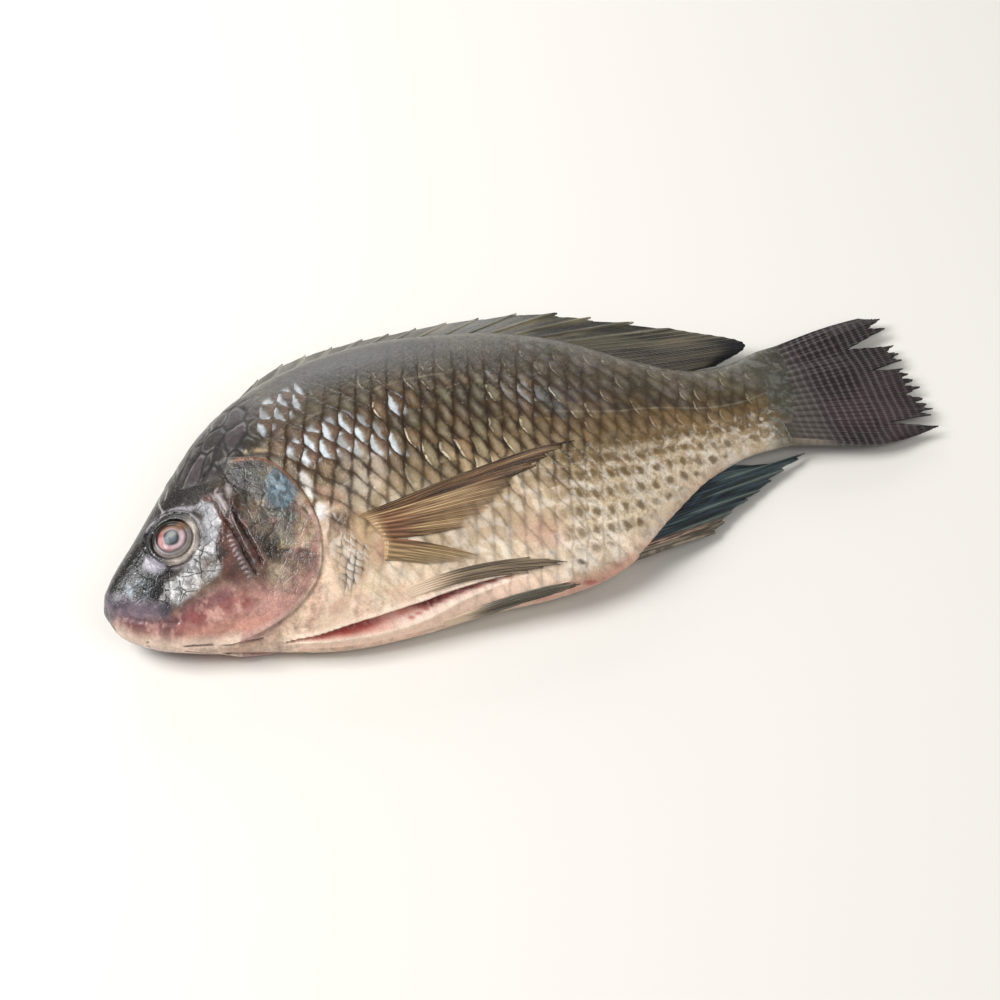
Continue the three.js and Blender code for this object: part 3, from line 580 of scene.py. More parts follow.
def body_look(x, s, point, side):
    """Height over the bare skin in mm, colour and gloss at places of the skin, from named shapes
    laid over its unrolled flat. v runs from 0 on the back over 1 on the middle row to 2 on the keel."""
    total = arc_total(x)
    lean_x = x + 2.4 * (clouds(x, s, 12, 3) - 0.5) + 1.1 * (cloud(x, s, 4, 5) - 0.5)
    lean_s = s + 2.0 * (clouds(x, s, 12, 4) - 0.5) + 1.1 * (cloud(x, s, 4, 6) - 0.5)
    behind, ahead, _ = scales(lean_x, lean_s)
    along, across = lattice(lean_x, lean_s)
    middle = middle_row(x)
    v = np.where(s < middle, s / middle, 1 + (s - middle) / (total - middle))

    # A patch of much smaller scales on the shoulder, drawn on a lattice of its own.
    tiny = region(lean_x, lean_s, TINY_PATCH, 3.2)
    in_tiny, off_border = tiny > 0.5, np.abs(2 * tiny - 1)
    tiny_along, tiny_across = lattice(lean_x + 2.2 * (clouds(x, s, 5, 80) - 0.5),
                                      lean_s + 2.2 * (clouds(x, s, 5, 85) - 0.5), TINY_SIZE)
    along, across = np.where(in_tiny, tiny_along, along), np.where(in_tiny, tiny_across, across)

    # Where scales show: not on the bare face, small and faint on the breast.
    face = 1 - region(x, s, FACE, 1.2)
    breast = rise(0, 14, s - np.interp(x, [60, 92, 104, 125, 160, 175], [90, 92, 113, 124, 136, 150]))
    small = np.clip(breast * fall(118, 150, x) + blob(x, s, (101, 108), (9, 16), 0, 0.3), 0, 1)
    strong = face * (1 - 0.5 * small) * rise(0, 3, s) * rise(0, 3, total - s)
    strong = strong * (1 - 0.55 * rise(1.2, 1.6, v)) * mix(0.15, 1, rise(0.45, 0.78, v))
    strong = strong * mix(1, 0.55, rise(195, 225, x)) * fall(300, 308, x + 6 * (clouds(x, s, 6, 7) - 0.5))

    # The back is dark olive grey, the side olive brown, the belly cream and pink.
    below = v - 0.3 * rise(262, 292, x)
    before = ramp(v, [[0, "#4a463e"], [0.3, "#4a443b"], [0.55, "#4b4133"], [0.8, "#4b3d2b"],
                      [1.0, "#54432f"],
                      [1.14, "#6f5b3f"], [1.28, "#8e7858"], [1.5, "#bda587"], [1.72, "#dcc4a6"],
                      [1.9, "#e9cfb6"], [2, "#e2b8a0"]])
    after = ramp(below, [[0, "#4a463b"], [0.4, "#4f4736"], [0.8, "#4a3e2c"], [1.0, "#55462f"],
                         [1.12, "#665640"], [1.25, "#7d6a50"], [1.37, "#9c8767"], [1.5, "#b8a384"],
                         [1.65, "#c9b496"], [1.87, "#e2ccb0"], [2, "#dcb9a0"]])
    tint = mix(before, after, rise(150, 235, x)[..., None])
    for share, x_edges, s_edges in ((0.42, (85, 118, 150, 190), (-2, -1, 30, 46)),
                                    (0.35, (85, 100, 150, 175), (-2, -1, 22, 34)),
                                    (0.3, (85, 108, 215, 245), (-2, -1, 34, 50)),
                                    (0.2, (112, 130, 230, 250), (34, 44, 52, 64))):
        tint = shade(tint, 1 - share * span(x, x_edges) * span(s, s_edges))
    tint = shade(tint, 1 - 0.45 * close_to(x, 140, 14) * span(s, (36, 46, 88, 100)))
    tint = shade(tint, (0.74 + 0.52 * clouds(x, s, 24, 11)) * (0.8 + 0.4 * clouds(x, s, 6, 12)))
    tint = paint(tint, "#6e4f28", 0.4 * rise(185, 205, x) * close_to(s, middle + 8, 7)
                 * patches(x, s, 7, 88, 0.35, 0.6))
    for colour, share, centre, size, turn, soft in (
            ("#2c271e", 0.6, (172, 57), (8, 17), 6, 0.6), ("#2e2a22", 0.6, (241, 36), (8, 13), 0, 0.6),
            ("#514a52", 0.3, (216, 50), (15, 9), -20, 0.7), ("#5f6c74", 0.35, (203, 56), (4, 8), 0, 0.6),
            ("#7c5930", 0.2, (256, 39), (18, 5), -8, 0.6), ("#4b3524", 0.6, (88, 49), (12, 6), 20, 0.7),
            ("#5c4238", 0.4, (108, 66), (12, 7), 0, 0.8), ("#cfc3b4", 0.5, (113, 86), (12, 5), 12, 0.6),
            ("#b7a593", 0.6, (118, 78), (10, 9), 30, 0.7), ("#8f7560", 0.6, (101, 99), (7, 7), 0, 0.7),
            ("#b59d84", 0.4, (99, 111), (12, 9), 0, 0.8)):
        tint = paint(tint, colour, share * blob(x, s, centre, size, turn, soft))

    # How strongly the net of scale edges, the bluish light on some scales and the spots show.
    net = strong * np.interp(v, [0, 0.4, 0.6, 0.8, 1.15, 1.35, 1.7, 2], [0.1, 0.2, 0.5, 1, 1, 0.9, 0.7, 0.2])
    net = np.maximum(net, 0.45 * face * rise(180, 205, x) * span(v, (0.1, 0.3, 0.9, 1.1)))
    net = net * (0.5 + clouds(x, s, 15, 30)) * mix(1, 0.8, rise(192, 222, x)) * fall(286, 298, x)
    net = np.where(in_tiny, 0.75 * patches(x, s, 6, 86, 0.25, 0.6), net) * off_border
    flash = np.maximum(0.75 * region(x, s, FLASH_NAPE, 1.5), region(x, s, FLASH_SHOULDER, 1.5))
    flash = np.maximum(flash, 0.9 * blob(x, s, (139, 55.5), (4, 6), 0, 0.3))
    flash = np.maximum(flash, 0.35 * region(x, s, FLASH_FLANK, 3) * patches(x, s, 9, 18, 0.4, 0.6)) * face
    flash = np.where(in_tiny, 0.6 * patches(x, s, 5, 79, 0.35, 0.6), flash) * off_border
    spotted = rise(176, 206, x) * span(v, (1.12, 1.42, 1.74, 1.9)) * fall(294, 300, x) * face

    # Behind, rows of brown scales under the axis, golden and dark clouds, and a dark line on it.
    rows = rise(-0.4, 0.6, np.cos(2 * np.pi * across) + clouds(x, s, 5, 8) - 0.5)
    rows = rows * rise(185, 215, x) * span(v, (0.98, 1.08, 1.4, 1.6)) * face
    tint = paint(tint, "#6a5233", 0.6 * rows * patches(x, s, 9, 13, 0.25, 0.55))
    rear = face * rise(188, 212, x) * rise(0.7, 0.95, v)
    tint = paint(tint, "#80653a", 0.3 * rear * fall(1.3, 1.6, v) * patches(x, s, 7, 19, 0.45, 0.65))
    tint = paint(tint, "#2f271c", 0.6 * rear * fall(1.02, 1.2, v) * patches(x, s, 9, 14, 0.4, 0.62))
    tint = paint(tint, "#2b241a", 0.5 * close_to(s, middle - 1.5, 2.6) * span(x, (203, 222, 282, 294)))
    tint = paint(tint, "#857b80", 0.18 * face * patches(x, s, 6, 75, 0.5, 0.65) * rise(175, 200, x)
                 * fall(0.8, 1.1, v))
    # A thin pale line along the ridge where the back fin grows out: a painted highlight on the wet skin.
    tint = paint(tint, "#bcb8b2", 0.8 * face * close_to(s, 2.8, 0.7) * span(x, (70, 90, 225, 250))
                 * patches(x, s, 8, 15, 0.3, 0.5))
    # Pale cream dabs over the lower flank are painted highlights on the scales; the brown dabs are the
    # skin's own.
    pale = face * rise(1.22, 1.5, v) * (1 - 0.7 * small)
    tint = paint(tint, "#f1e8da", 0.45 * pale * patches(x, s, 3.6, 76, 0.48, 0.62))
    tint = paint(tint, "#8d7350", 0.35 * pale * patches(x, s, 3, 77, 0.54, 0.68) * rise(150, 190, x))

    # The side line: a thin pale line of pored scales, high in front and along the axis behind.
    thin = stroke(x, s, LINE_UPPER, 0.8) * (0.3 + 0.7 * patches(x, s, 7, 22, 0.35, 0.55))
    thin = thin + (x > 198) * (x < 296) * fall(0.2, 0.7, np.abs(s - middle - 0.6))
    tint = paint(tint, "#8b7d6b", 0.4 * thin * face)

    # Small scales and creases on the breast.
    edge_small, _, small_dice = scales(lean_x, lean_s, 0.55)
    creases, crease_dice = cracks(x * 0.9, s * 0.6 + 2 * clouds(x, s, 5, 23), 2.6, 24)
    shoulder = blob(x, s, (99, 104), (9, 19), 0, 0.4) * face
    small = small * face
    creased = shoulder * (1 - tiny)
    tint = paint(tint, "#7a5c45", small * 0.28 * close_to(edge_small, 0, 0.16))
    tint = paint(tint, "#efe0ca", small * 0.4 * small_dice ** 2)
    tint = paint(tint, "#a98a70", 0.5 * small * patches(x, s, 2.4, 97, 0.55, 0.7))
    tint = paint(tint, "#dcae98", 0.35 * small * patches(x, s, 9, 98, 0.5, 0.7))
    tint = paint(tint, "#b39a80", 0.7 * tiny)
    tint = paint(tint, "#7a6148", 0.35 * creased * close_to(creases, 0, 0.3))
    tint = paint(tint, "#f6efe4", 0.3 * shoulder * rise(0.6, 0.8, crease_dice))
    tint = paint(tint, "#c98a76", 0.6 * rise(1.9, 1.99, v) * span(x, (150, 175, 205, 225)))
    for colour, share, centre, size, turn in (("#d89c86", 0.4, (178, 121), (9, 6), 0),
                                              ("#7a5f4b", 0.75, (102, 98), (7, 5), 20),
                                              ("#a5876a", 0.3, (155, 112), (26, 10), -8)):
        tint = paint(tint, colour, share * blob(lean_x, lean_s, centre, size, turn, 0.8))
    mole_x = x + 0.8 * clouds(x, s, 1.5, 25)
    tint = paint(tint, "#2f2723", 0.85 * blob(mole_x, s, (190.6, 133), (1.5, 1.3), 0, 0.4))

    # Past the end of the stalk the skin turns into the tail fin.
    fin_root = rise(284, 299, x + 9 * (clouds(x, s, 7, 26) - 0.5) + 3 * rise(1.4, 1.8, v))
    tint = paint(tint, "#484538", 0.85 * fin_root)
    tint = paint(tint, "#403c35", 0.9 * rise(299, 309, x + 6 * (clouds(x, s, 5, 16) - 0.5)))
    tint = paint(tint, "#7b7d78", 0.35 * rise(288, 297, x) * patches(x, s, 2.6, 27, 0.5, 0.68))

    saw = behind / (ahead + behind + 1e-6)
    height = strong * (0.3 * saw * rise(0, 0.2, behind) - 0.08)
    height = height + small * 0.16 * (1 - close_to(edge_small, 0, 0.14))
    height = height + 0.2 * creased * (1 - close_to(creases, 0, 0.5))

    # The bare face, laid over the scaled colours.
    bare = 1 - face
    head, height_face, sunk, cracked, jaw, snout = face_look(x, s, point, side)
    tint = mix(tint, head, bare[..., None])
    height = height + bare * height_face - sunk
    cracked = np.maximum(bare * cracked, 0.12 * creased)
    gritty = mix(mix(1.0, 0.55, rise(0.4, 0.8, v)), 0.9, bare) * (1 - 0.4 * bare * rise(0.3, 1, jaw))
    gritty = gritty * (1 - 0.62 * rise(1.2, 1.55, v) * face)
    # glint says where pale flecks are painted as glints of light on the wet skin.
    glint = bare * (0.3 + 0.4 * snout) * (1 - 0.8 * jaw) + 0.2 * flash + 0.08 * face * fall(0.5, 0.9, v)
    gloss = 0.36 + 0.16 * clouds(x, s, 5, 21)
    gloss = mix(gloss, 0.22 + 0.16 * clouds(point[..., 0], point[..., 1], 4, 57), bare)

    # Nape scales: large, almost black, with worn greyish edges and a purple sheen on some.
    nape = face * fall(74, 92, x) * fall(40, 54, s)
    worn, worn_dice = cracks(x + 2.5 * clouds(x, s, 9, 65), s + 2.5 * clouds(x, s, 9, 66), 9, 67)
    tint = paint(tint, "#1b1714", 0.88 * nape)
    tint = paint(tint, "#4c4145", 0.55 * nape * rise(0.55, 0.9, worn_dice))
    tint = paint(tint, "#0d0b0a", 0.7 * nape * close_to(worn, 0, 0.9))
    tint = paint(tint, "#7d7872", 0.5 * nape * close_to(worn, 1.1, 0.35) * patches(x, s, 6, 68, 0.45, 0.65))
    height = height * (1 - nape) + 0.35 * nape * (1 - close_to(worn, 0, 0.9))

    # Behind the gill cover: the cream membrane, the white shoulder and the breast fin's fleshy base.
    fx, fs = astray(x, s, point)
    hidden = 1 - region(x, s, GILL_PLATE, 0.3)
    tint = paint(tint, "#a8906f", 0.8 * hidden
                 * stroke(x, fs, [[74, 43], [82, 49.5], [87.5, 57], [90.6, 66]],
                                                        1.5, 0.9) * patches(x, s, 4, 9, 0.3, 0.5))
    membrane = region(fx, s, MEMBRANE, 1.2) * hidden
    tint = paint(tint, "#dcc1a8", 0.9 * membrane)
    tint = paint(tint, "#b58a76", 0.5 * membrane * patches(x, s, 6, 10, 0.5, 0.7))
    net = net * (1 - nape) * (1 - membrane)
    white = np.maximum(0.75 * region(fx, fs, WHITE_UPPER, 0.9), region(fx, fs, WHITE_LOWER, 0.9)) * hidden
    tint = paint(tint, "#a8836b", 0.75 * region(fx, fs,
                                                [[95, 78], [103, 81], [108, 88], [102, 92], [98, 86]], 1.4))
    tint = paint(tint, "#4a3628", 0.7 * region(fx, fs,
                                               [[98, 91], [103, 93], [108, 98], [104, 101], [100, 97]], 1.2))
    tint = paint(tint, "#e6dfd8", 0.9 * white)
    tint = paint(tint, "#b3936b", 0.75 * blob(fx, s, (109.5, 108), (4.6, 11), -12, 0.6))
    tint = paint(tint, "#c08c78", 0.5 * blob(fx, s, (113, 115), (3, 5), 0, 0.7))
    height = height * (1 - 0.85 * membrane)
    height = height + 0.8 * blob(x, s, (106, 104), (4.5, 10), -6, 0.7) + 0.35 * white

    # The cut: red wet flesh, darkened under the upper lip by painted shadow, between two pale lips, and the
    # vent behind it.
    inside, depth, flesh, lip, flap = cut_look(x, s, side)
    tint = mix(tint, flesh, inside[..., None])
    tint = paint(tint, "#f0dac6", 0.8 * lip)
    tint = paint(tint, "#f3d0ba", 0.85 * flap)
    vent = blob(x, s, (192.2, 143), (3, 1.6), 0, 0.6) * (side == LEFT)
    tint = paint(tint, "#b0605a", 0.8 * vent)
    height = height + 0.5 * lip - 0.9 * vent
    gloss = mix(gloss, 0.18, inside)
    gritty = gritty * (1 - 0.7 * inside)

    # The relief fades out where the two flanks meet and at the tip of the snout.
    height = height * rise(0, 2.0, s) * rise(0, 1.5, total - s) * rise(0, 3, x)
    strong = np.where(in_tiny, 0.5, strong) * off_border * (1 - nape)
    more = {"lattice": np.stack([along, across, strong], -1),
            "marks": np.stack([net, flash * hidden, spotted], -1),
            "face": np.stack([cracked, gritty, glint], -1)}
    return height, tint, gloss, depth, more


def flank(stations, count, side):
    """One flank as a grid of stations by places down it, evenly spaced along the skin. The side that
    bears the weight keeps its relief just over the resting surface."""
    run = arcs(side, stations)
    share = np.linspace(0, 1, count + 1)
    u = np.stack([np.interp(share * line[-1], line, table_u) for line in run])
    x = np.repeat(stations[:, None], count + 1, 1)
    s = arc_at(x, u)
    point = skin(x, u, side)
    height, tint, gloss, depth, more = body_look(x, s, point, side)
    place = point + outward(x, u, side) * height[..., None] + depth[..., None] * np.array([0, 0.96, 0.28])
    rest = 0.45 * fall(0, 6, point[..., 2]) * (side == RIGHT)
    place[..., 2] = np.maximum(place[..., 2] + rest * rise(0, 0.05, u) * rise(0, 0.05, 1 - u), 0)
    return place, tint, gloss, np.stack([x, s], -1), more["lattice"], more["marks"], more["face"]


def joined(left, right):
    """A ring from two flanks: down the left one, and up the right one."""
    return [np.concatenate([a, b[:, ::-1]], 1) for a, b in zip(left, right)]


def normals_of(points):
    """Directions square to a grid of points that closes round, from the differences to the neighbours."""
    out = np.cross(np.gradient(points, axis=0), np.roll(points, -1, 1) - np.roll(points, 1, 1))
    return out / np.maximum(np.linalg.norm(out, axis=-1, keepdims=True), 1e-12)


def grid_faces(rows, columns):
    """Four-cornered faces between neighbouring points of a grid that closes round."""
    i = np.arange(rows - 1)[:, None]
    j = np.arange(columns)[None, :]
    k = (j + 1) % columns
    corners = [i * columns + j, i * columns + k, (i + 1) * columns + k, (i + 1) * columns + j]
    return np.stack([np.broadcast_to(c, (rows - 1, columns)) for c in corners], -1).reshape(-1, 4)


def end_faces(columns, first):
    """Faces that shut a ring whose second half runs back over its first."""
    k = np.arange(columns // 2 - 1)
    return np.stack([first + k, first + k + 1, first + columns - 2 - k, first + columns - 1 - k], -1)


def piece(name, points, tint, gloss, place, material, close=(True, True), more=None, square=None,
          nodes=("fish",)):
    """A mesh over a grid of points that closes round on itself, turned right side out, with its
    colour, gloss and flat place kept at each point. It rides on the fish and stands for its solid."""
    rows, columns = points.shape[:2]
    faces = grid_faces(rows, columns)
    if close[0]:
        faces = np.concatenate([faces, end_faces(columns, 0)[:, ::-1]])
    if close[1]:
        faces = np.concatenate([faces, end_faces(columns, (rows - 1) * columns)])
    one, two, three, four = np.moveaxis((points - points.mean((0, 1))).reshape(-1, 3)[faces], 1, 0)
    if np.einsum("ij,ij->", one, np.cross(two, three) + np.cross(three, four)) < 0:
        faces = faces[:, ::-1]
    mesh = bpy.data.meshes.new(name)
    mesh.vertices.add(rows * columns)
    mesh.loops.add(faces.size)
    mesh.polygons.add(len(faces))
    mesh.vertices.foreach_set("co", ((points - MIDDLE) / 1000).astype(np.float32).ravel())
    mesh.loops.foreach_set("vertex_index", faces.astype(np.int32).ravel())
    mesh.polygons.foreach_set("loop_start", (np.arange(len(faces)) * 4).astype(np.int32))
    mesh.update(calc_edges=True)
    mesh.polygons.foreach_set("use_smooth", np.ones(len(faces), bool))
    colour = np.concatenate([tint, np.ones(tint.shape[:2] + (1,))], -1)
    kept = [("tint", "FLOAT_COLOR", "color", colour), ("gloss", "FLOAT", "value", gloss)]
    kept += [(kind, "FLOAT_VECTOR", "vector", values) for kind, values in (more or {}).items()]
    for kind, sort, field, values in kept:
        mesh.attributes.new(kind, sort, "POINT").data.foreach_set(field, values.astype(np.float32).ravel())
    flat = mesh.uv_layers.new(name="flat")
    flat.data.foreach_set("uv", (place.reshape(-1, 2)[faces.ravel()] / 100).astype(np.float32).ravel())
    mesh.validate()
    if square is not None:
        mesh.normals_split_custom_set_from_vertices(square.reshape(-1, 3))
    made = bpy.data.objects.new(name, mesh)
    bpy.context.scene.collection.objects.link(made)
    mesh.materials.append(material)
    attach(made, "root")
    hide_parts(*nodes)


# What may stand after the point in a kind of node, and how it is set.
MODE = {"Math": "operation", "VectorMath": "operation", "MapRange": "interpolation_type", "Mix": "data_type",
        "TexVoronoi": "feature", "Attribute": "attribute_name", "UVMap": "uv_map"}
ALL = slice(None)  # every output of a node


def add_node(tree, kind, *values, out=None, **named):
    """Adds a node, whose mode stands after a point, with values or links for the inputs that it has
    in use, in their order or by name. Gives its first output in use, or the ones asked for."""
    kind, _, mode = kind.partition(".")
    made = tree.nodes.new("ShaderNode" + kind)
    if mode:
        setattr(made, MODE[kind], mode)
    used = [socket for socket in made.inputs if socket.enabled]
    for socket, value in [*zip(used, values),
                          *((made.inputs[name], value) for name, value in named.items())]:
        if isinstance(value, bpy.types.NodeSocket):
            tree.links.new(value, socket)
        else:
            socket.default_value = value
    return made.outputs[out] if out else next(socket for socket in made.outputs if socket.enabled)


def wet_material(name, grain, stretch, bump, coat, mottling):
    """Wet skin: the painted tint, fine grain of a size in mm that is even, or streaked along the flat
    place's lines where a stretch is given, and a slick water film over it as a coat."""
    material = bpy.data.materials.new(name)
    material.use_nodes = True
    tree = material.node_tree
    shader = tree.nodes["Principled BSDF"]
    add = partial(add_node, tree)
    tint = add("Attribute.tint", out="Color")
    gloss = add("Attribute.gloss", out="Fac")
    if stretch:
        at, metre = add("Mapping", Vector=add("UVMap.flat"), Scale=stretch), 100
    else:
        at, metre = add("TexCoord", out="Object"), 1000
    streaks = add("TexNoise", Vector=at, Scale=metre / grain, Detail=3.0, Roughness=0.6)
    pits = add("TexNoise", Vector=at, Scale=metre / (3.2 * grain), Detail=4.0, Roughness=0.55)
    mottled = add("MapRange", streaks, 0.3, 0.7, 1 - mottling, 1 + mottling)
    height = add("Math.MULTIPLY", add("Math.ADD", streaks, pits), bump)
    relief = add("Bump", Height=height, Strength=1.0, Distance=0.001)
    for socket, source in (("Base Color", add("VectorMath.SCALE", tint, mottled)),
                           ("Roughness", add("Math.MULTIPLY_ADD", gloss, pits, 0.12)),
                           ("Normal", relief), ("Coat Normal", relief)):
        tree.links.new(source, shader.inputs[socket])
    for socket, value in (("IOR", 1.38), ("Coat Weight", coat), ("Coat Roughness", 0.1), ("Coat IOR", 1.33)):
        shader.inputs[socket].default_value = value
    return material


def draw_scales(material):
    """Draws the scales on wet skin, from how many scales and rows lie before each place. A scale shows
    a leaf shape, paler in its middle and darker at its corners, with a dark line behind its free edge
    that is partly dark skin and partly painted shadow, a painted highlight on the front of some, with
    painted brown shade behind it on a few, and a spot on others. On the bare face it draws fine cracks,
    and over all the skin the grit and mottles that are finer than the mesh, and pale flecks painted as
    glints of light on the water."""
    tree = material.node_tree
    shader = tree.nodes["Principled BSDF"]
    add = partial(add_node, tree)
    (along, across, strong), (net, flash, spotted), (cracked, gritty, glint) = [
        add("SeparateXYZ", add("Attribute." + name, out="Vector"), out=ALL) for name in ("lattice", "marks",
                                                                                         "face")]

    # Two rows may cover a place. Of the two scales there, one lies on top.
    row = add("Math.FLOOR", across)
    off = add("Math.FRACT", across)
    shift = add("Math.MULTIPLY", add("Math.FLOORED_MODULO", row, 2.0), 0.5)
    behinds, points = [], []
    for away, moved in ((off, shift), (add("Math.SUBTRACT", 1.0, off), add("Math.SUBTRACT", 0.5, shift))):
        point = add("Math.MULTIPLY", add("Math.SUBTRACT", 1.0, add("Math.POWER", away, SCALE_ROUND)),
                    SCALE_POINT)
        points.append(point)
        behinds.append(add("Math.FRACT", add("Math.SUBTRACT", add("Math.SUBTRACT", along, point), moved)))
    first_on_top = add("Math.GREATER_THAN", add("Math.ADD", behinds[0], points[0]),
                       add("Math.ADD", behinds[1], points[1]))
    behind = add("Math.MINIMUM", *behinds)
    own = add("Math.ADD", add("Math.MULTIPLY", first_on_top, behinds[0]),
              add("Math.MULTIPLY", add("Math.SUBTRACT", 1.0, first_on_top), behinds[1]))
    ahead = add("Math.SUBTRACT", 1.0, own)
    own_off = add("Math.ADD", add("Math.MULTIPLY", first_on_top, off),
                  add("Math.MULTIPLY", add("Math.SUBTRACT", 1.0, first_on_top),
                      add("Math.SUBTRACT", 1.0, off)))
    own_row = add("Math.SUBTRACT", add("Math.ADD", row, 1.0), first_on_top)
    number = add("Math.ROUND", add("Math.MULTIPLY", add("Math.ADD", along, ahead), 2.0))
    dice = add("TexWhiteNoise", add("CombineXYZ", number, own_row), out="Color")
    die, die_two, _ = add("SeparateXYZ", dice, out=ALL)

    base = shader.inputs["Base Color"].links[0].from_socket
    from_middle = add("Math.SUBTRACT", add("Math.ADD", add("Math.MULTIPLY", first_on_top, points[0]),
                                           add("Math.MULTIPLY", add("Math.SUBTRACT", 1.0, first_on_top),
                                               points[1])), ahead)
    at = add("TexCoord", out="Object")
    patchy = add("TexNoise", Vector=at, Scale=1000 / 2.4, Detail=2.0)
    wander = add("Math.SUBTRACT", patchy, 0.5)
    # Places in a scale's leaf shape: rearward runs from -1 to 1, and leaf from 0 in its middle to 1
    # at its corners.
    rearward = add("Math.MULTIPLY", from_middle, 2.0)
    leaf = add("Math.SQRT", add("Math.ADD", add("Math.MULTIPLY", rearward, rearward),
                                add("Math.MULTIPLY", own_off, own_off)))
    leaf = add("Math.MULTIPLY_ADD", wander, 0.35, leaf)
    olive = add("Mix.RGBA", add("Math.MULTIPLY", add("MapRange.SMOOTHSTEP", die_two, 0.55, 0.8),
                                add("Math.MULTIPLY", net, 0.3)), base, (*linear("#6f684c"), 1))
    brown = add("Mix.RGBA", add("Math.MULTIPLY",
                                add("Math.SUBTRACT", 1.0, add("MapRange.SMOOTHSTEP", die_two, 0.15, 0.4)),
                                add("Math.MULTIPLY", net, 0.4)), olive, (*linear("#6b4d2c"), 1))
    light = add("Math.MULTIPLY_ADD", add("Math.SUBTRACT", 0.5, add("MapRange.SMOOTHSTEP", leaf, 0.0, 0.8)),
                add("Math.MULTIPLY", net, 0.7), 1.0)
    light = add("Math.MULTIPLY", light, add("Math.MULTIPLY_ADD", add("Math.SUBTRACT", die, 0.5),
                                            add("Math.MULTIPLY", strong, 0.5), 1.0))
    lit = add("VectorMath.SCALE", brown, light)
    colour = add("Mix.RGBA", add("Math.MULTIPLY",
                                 add("Math.SUBTRACT", 1.0, add("MapRange.SMOOTHSTEP", leaf, 0.0, 0.55)),
                                 add("Math.MULTIPLY", net, 0.3)), lit, (*linear("#8d897c"), 1))
    colour = add("Mix.RGBA", add("Math.MULTIPLY", add("MapRange.SMOOTHSTEP", leaf, 0.48, 0.92),
                                 add("Math.MULTIPLY", net, 0.85)), colour, (*linear("#2c1c0d"), 1))
    # The dark line just behind each free edge: partly dark skin, partly painted shadow of the edge on top;
    # its strength comes and goes in patches.
    worn = add("Math.MULTIPLY", net, add("Math.MULTIPLY_ADD", add("MapRange.SMOOTHSTEP", patchy, 0.42, 0.62),
                                         1.0, 0.1))
    seam = add("Math.SUBTRACT", 1.0, add("MapRange.SMOOTHSTEP", behind, 0.0, 0.1))
    colour = add("Mix.RGBA", add("Math.MULTIPLY", seam, add("Math.MULTIPLY", worn, 0.5)), colour,
                 (*linear("#38240f"), 1))
    spot_rear = add("Math.DIVIDE", add("Math.SUBTRACT", rearward, 0.1), 0.68)
    spot_side = add("Math.DIVIDE", own_off, 0.4)
    from_spot = add("Math.SQRT", add("Math.ADD", add("Math.MULTIPLY", spot_rear, spot_rear),
                                     add("Math.MULTIPLY", spot_side, spot_side)))
    from_spot = add("Math.MULTIPLY_ADD", wander, 0.9, from_spot)
    spot = add("Math.MULTIPLY", add("Math.SUBTRACT", 1.0, add("MapRange.SMOOTHSTEP", from_spot, 0.3, 1.15)),
               add("Math.MULTIPLY", add("MapRange.SMOOTHSTEP", spotted, 0.0, 0.6),
                   add("MapRange.SMOOTHSTEP", die_two, -0.3, 0.4)))
    fine = add("TexNoise", Vector=at, Scale=1000 / 2.2, Detail=3.0, Roughness=0.6)
    colour = add("Mix.RGBA", add("Math.MULTIPLY", add("MapRange.SMOOTHSTEP", fine, 0.5, 0.66),
                                 add("Math.MULTIPLY", spotted, 0.35)), colour, (*linear("#e9dfce"), 1))
    colour = add("Mix.RGBA", add("Math.MULTIPLY",
                                 add("Math.SUBTRACT", 1.0, add("MapRange.SMOOTHSTEP", fine, 0.34, 0.46)),
                                 add("Math.MULTIPLY", spotted, 0.5)), colour, (*linear("#7c6544"), 1))
    colour = add("Mix.RGBA", add("Math.MULTIPLY", spot, 0.85), colour, (*linear("#5f4a2b"), 1))
    # On some scales a pale arc at the front, and on a few a white or bluish flash of light: both painted
    # highlights, the flash with painted brown shade behind it.
    forward = add("Math.SUBTRACT", 1.0, add("MapRange.SMOOTHSTEP", rearward, -0.75, -0.15))
    arc = add("Math.MULTIPLY", add("MapRange.SMOOTHSTEP", leaf, 0.42, 0.6),
              add("Math.SUBTRACT", 1.0, add("MapRange.SMOOTHSTEP", leaf, 0.66, 0.82)))
    arc = add("Math.MULTIPLY", add("Math.MULTIPLY", arc, forward),
              add("Math.MULTIPLY", add("MapRange.SMOOTHSTEP", die, 0.6, 0.85),
                  add("MapRange.SMOOTHSTEP", patchy, 0.35, 0.55)))
    colour = add("Mix.RGBA", add("Math.MULTIPLY", add("Math.MULTIPLY", arc, net), 0.8), colour,
                 (*linear("#ded3ba"), 1))
    colour = add("Mix.RGBA", add("Math.MULTIPLY",
                                 add("Math.MULTIPLY", add("MapRange.SMOOTHSTEP", rearward, -0.1, 0.4),
                                     flash), 0.6), colour, (*linear("#5b3f30"), 1))
    shine = add("Math.SUBTRACT", 1.0, add("MapRange.SMOOTHSTEP",
                                          add("Math.MULTIPLY_ADD", wander, 0.5, rearward), -0.4, 0.05))
    shine = add("Math.MULTIPLY", shine, add("Math.SUBTRACT", 1.0,
                                            add("MapRange.SMOOTHSTEP", leaf, 0.68, 0.86)))
    shine = add("Math.MULTIPLY", add("Math.MULTIPLY", shine, flash),
                add("MapRange.SMOOTHSTEP", die, -0.4, 0.6))
    colour = add("Mix.RGBA", add("Math.MULTIPLY", shine, 0.88), colour, (*linear("#c3cacf"), 1))
    saw = add("Math.MULTIPLY", add("Math.DIVIDE", behind,
                                   add("Math.ADD", add("Math.ADD", behind, ahead), 0.001)),
              add("MapRange.SMOOTHSTEP", ahead, 0.0, 0.16))
    saw = add("Math.MULTIPLY", saw, add("Math.MULTIPLY_ADD", add("MapRange.SMOOTHSTEP", patchy, 0.35, 0.65),
                                        0.7, 0.5))
    relief = tree.nodes["Bump"]
    relief_height = add("Math.MULTIPLY_ADD", add("Math.MULTIPLY", saw, strong), 0.26,
                        relief.inputs["Height"].links[0].from_socket)
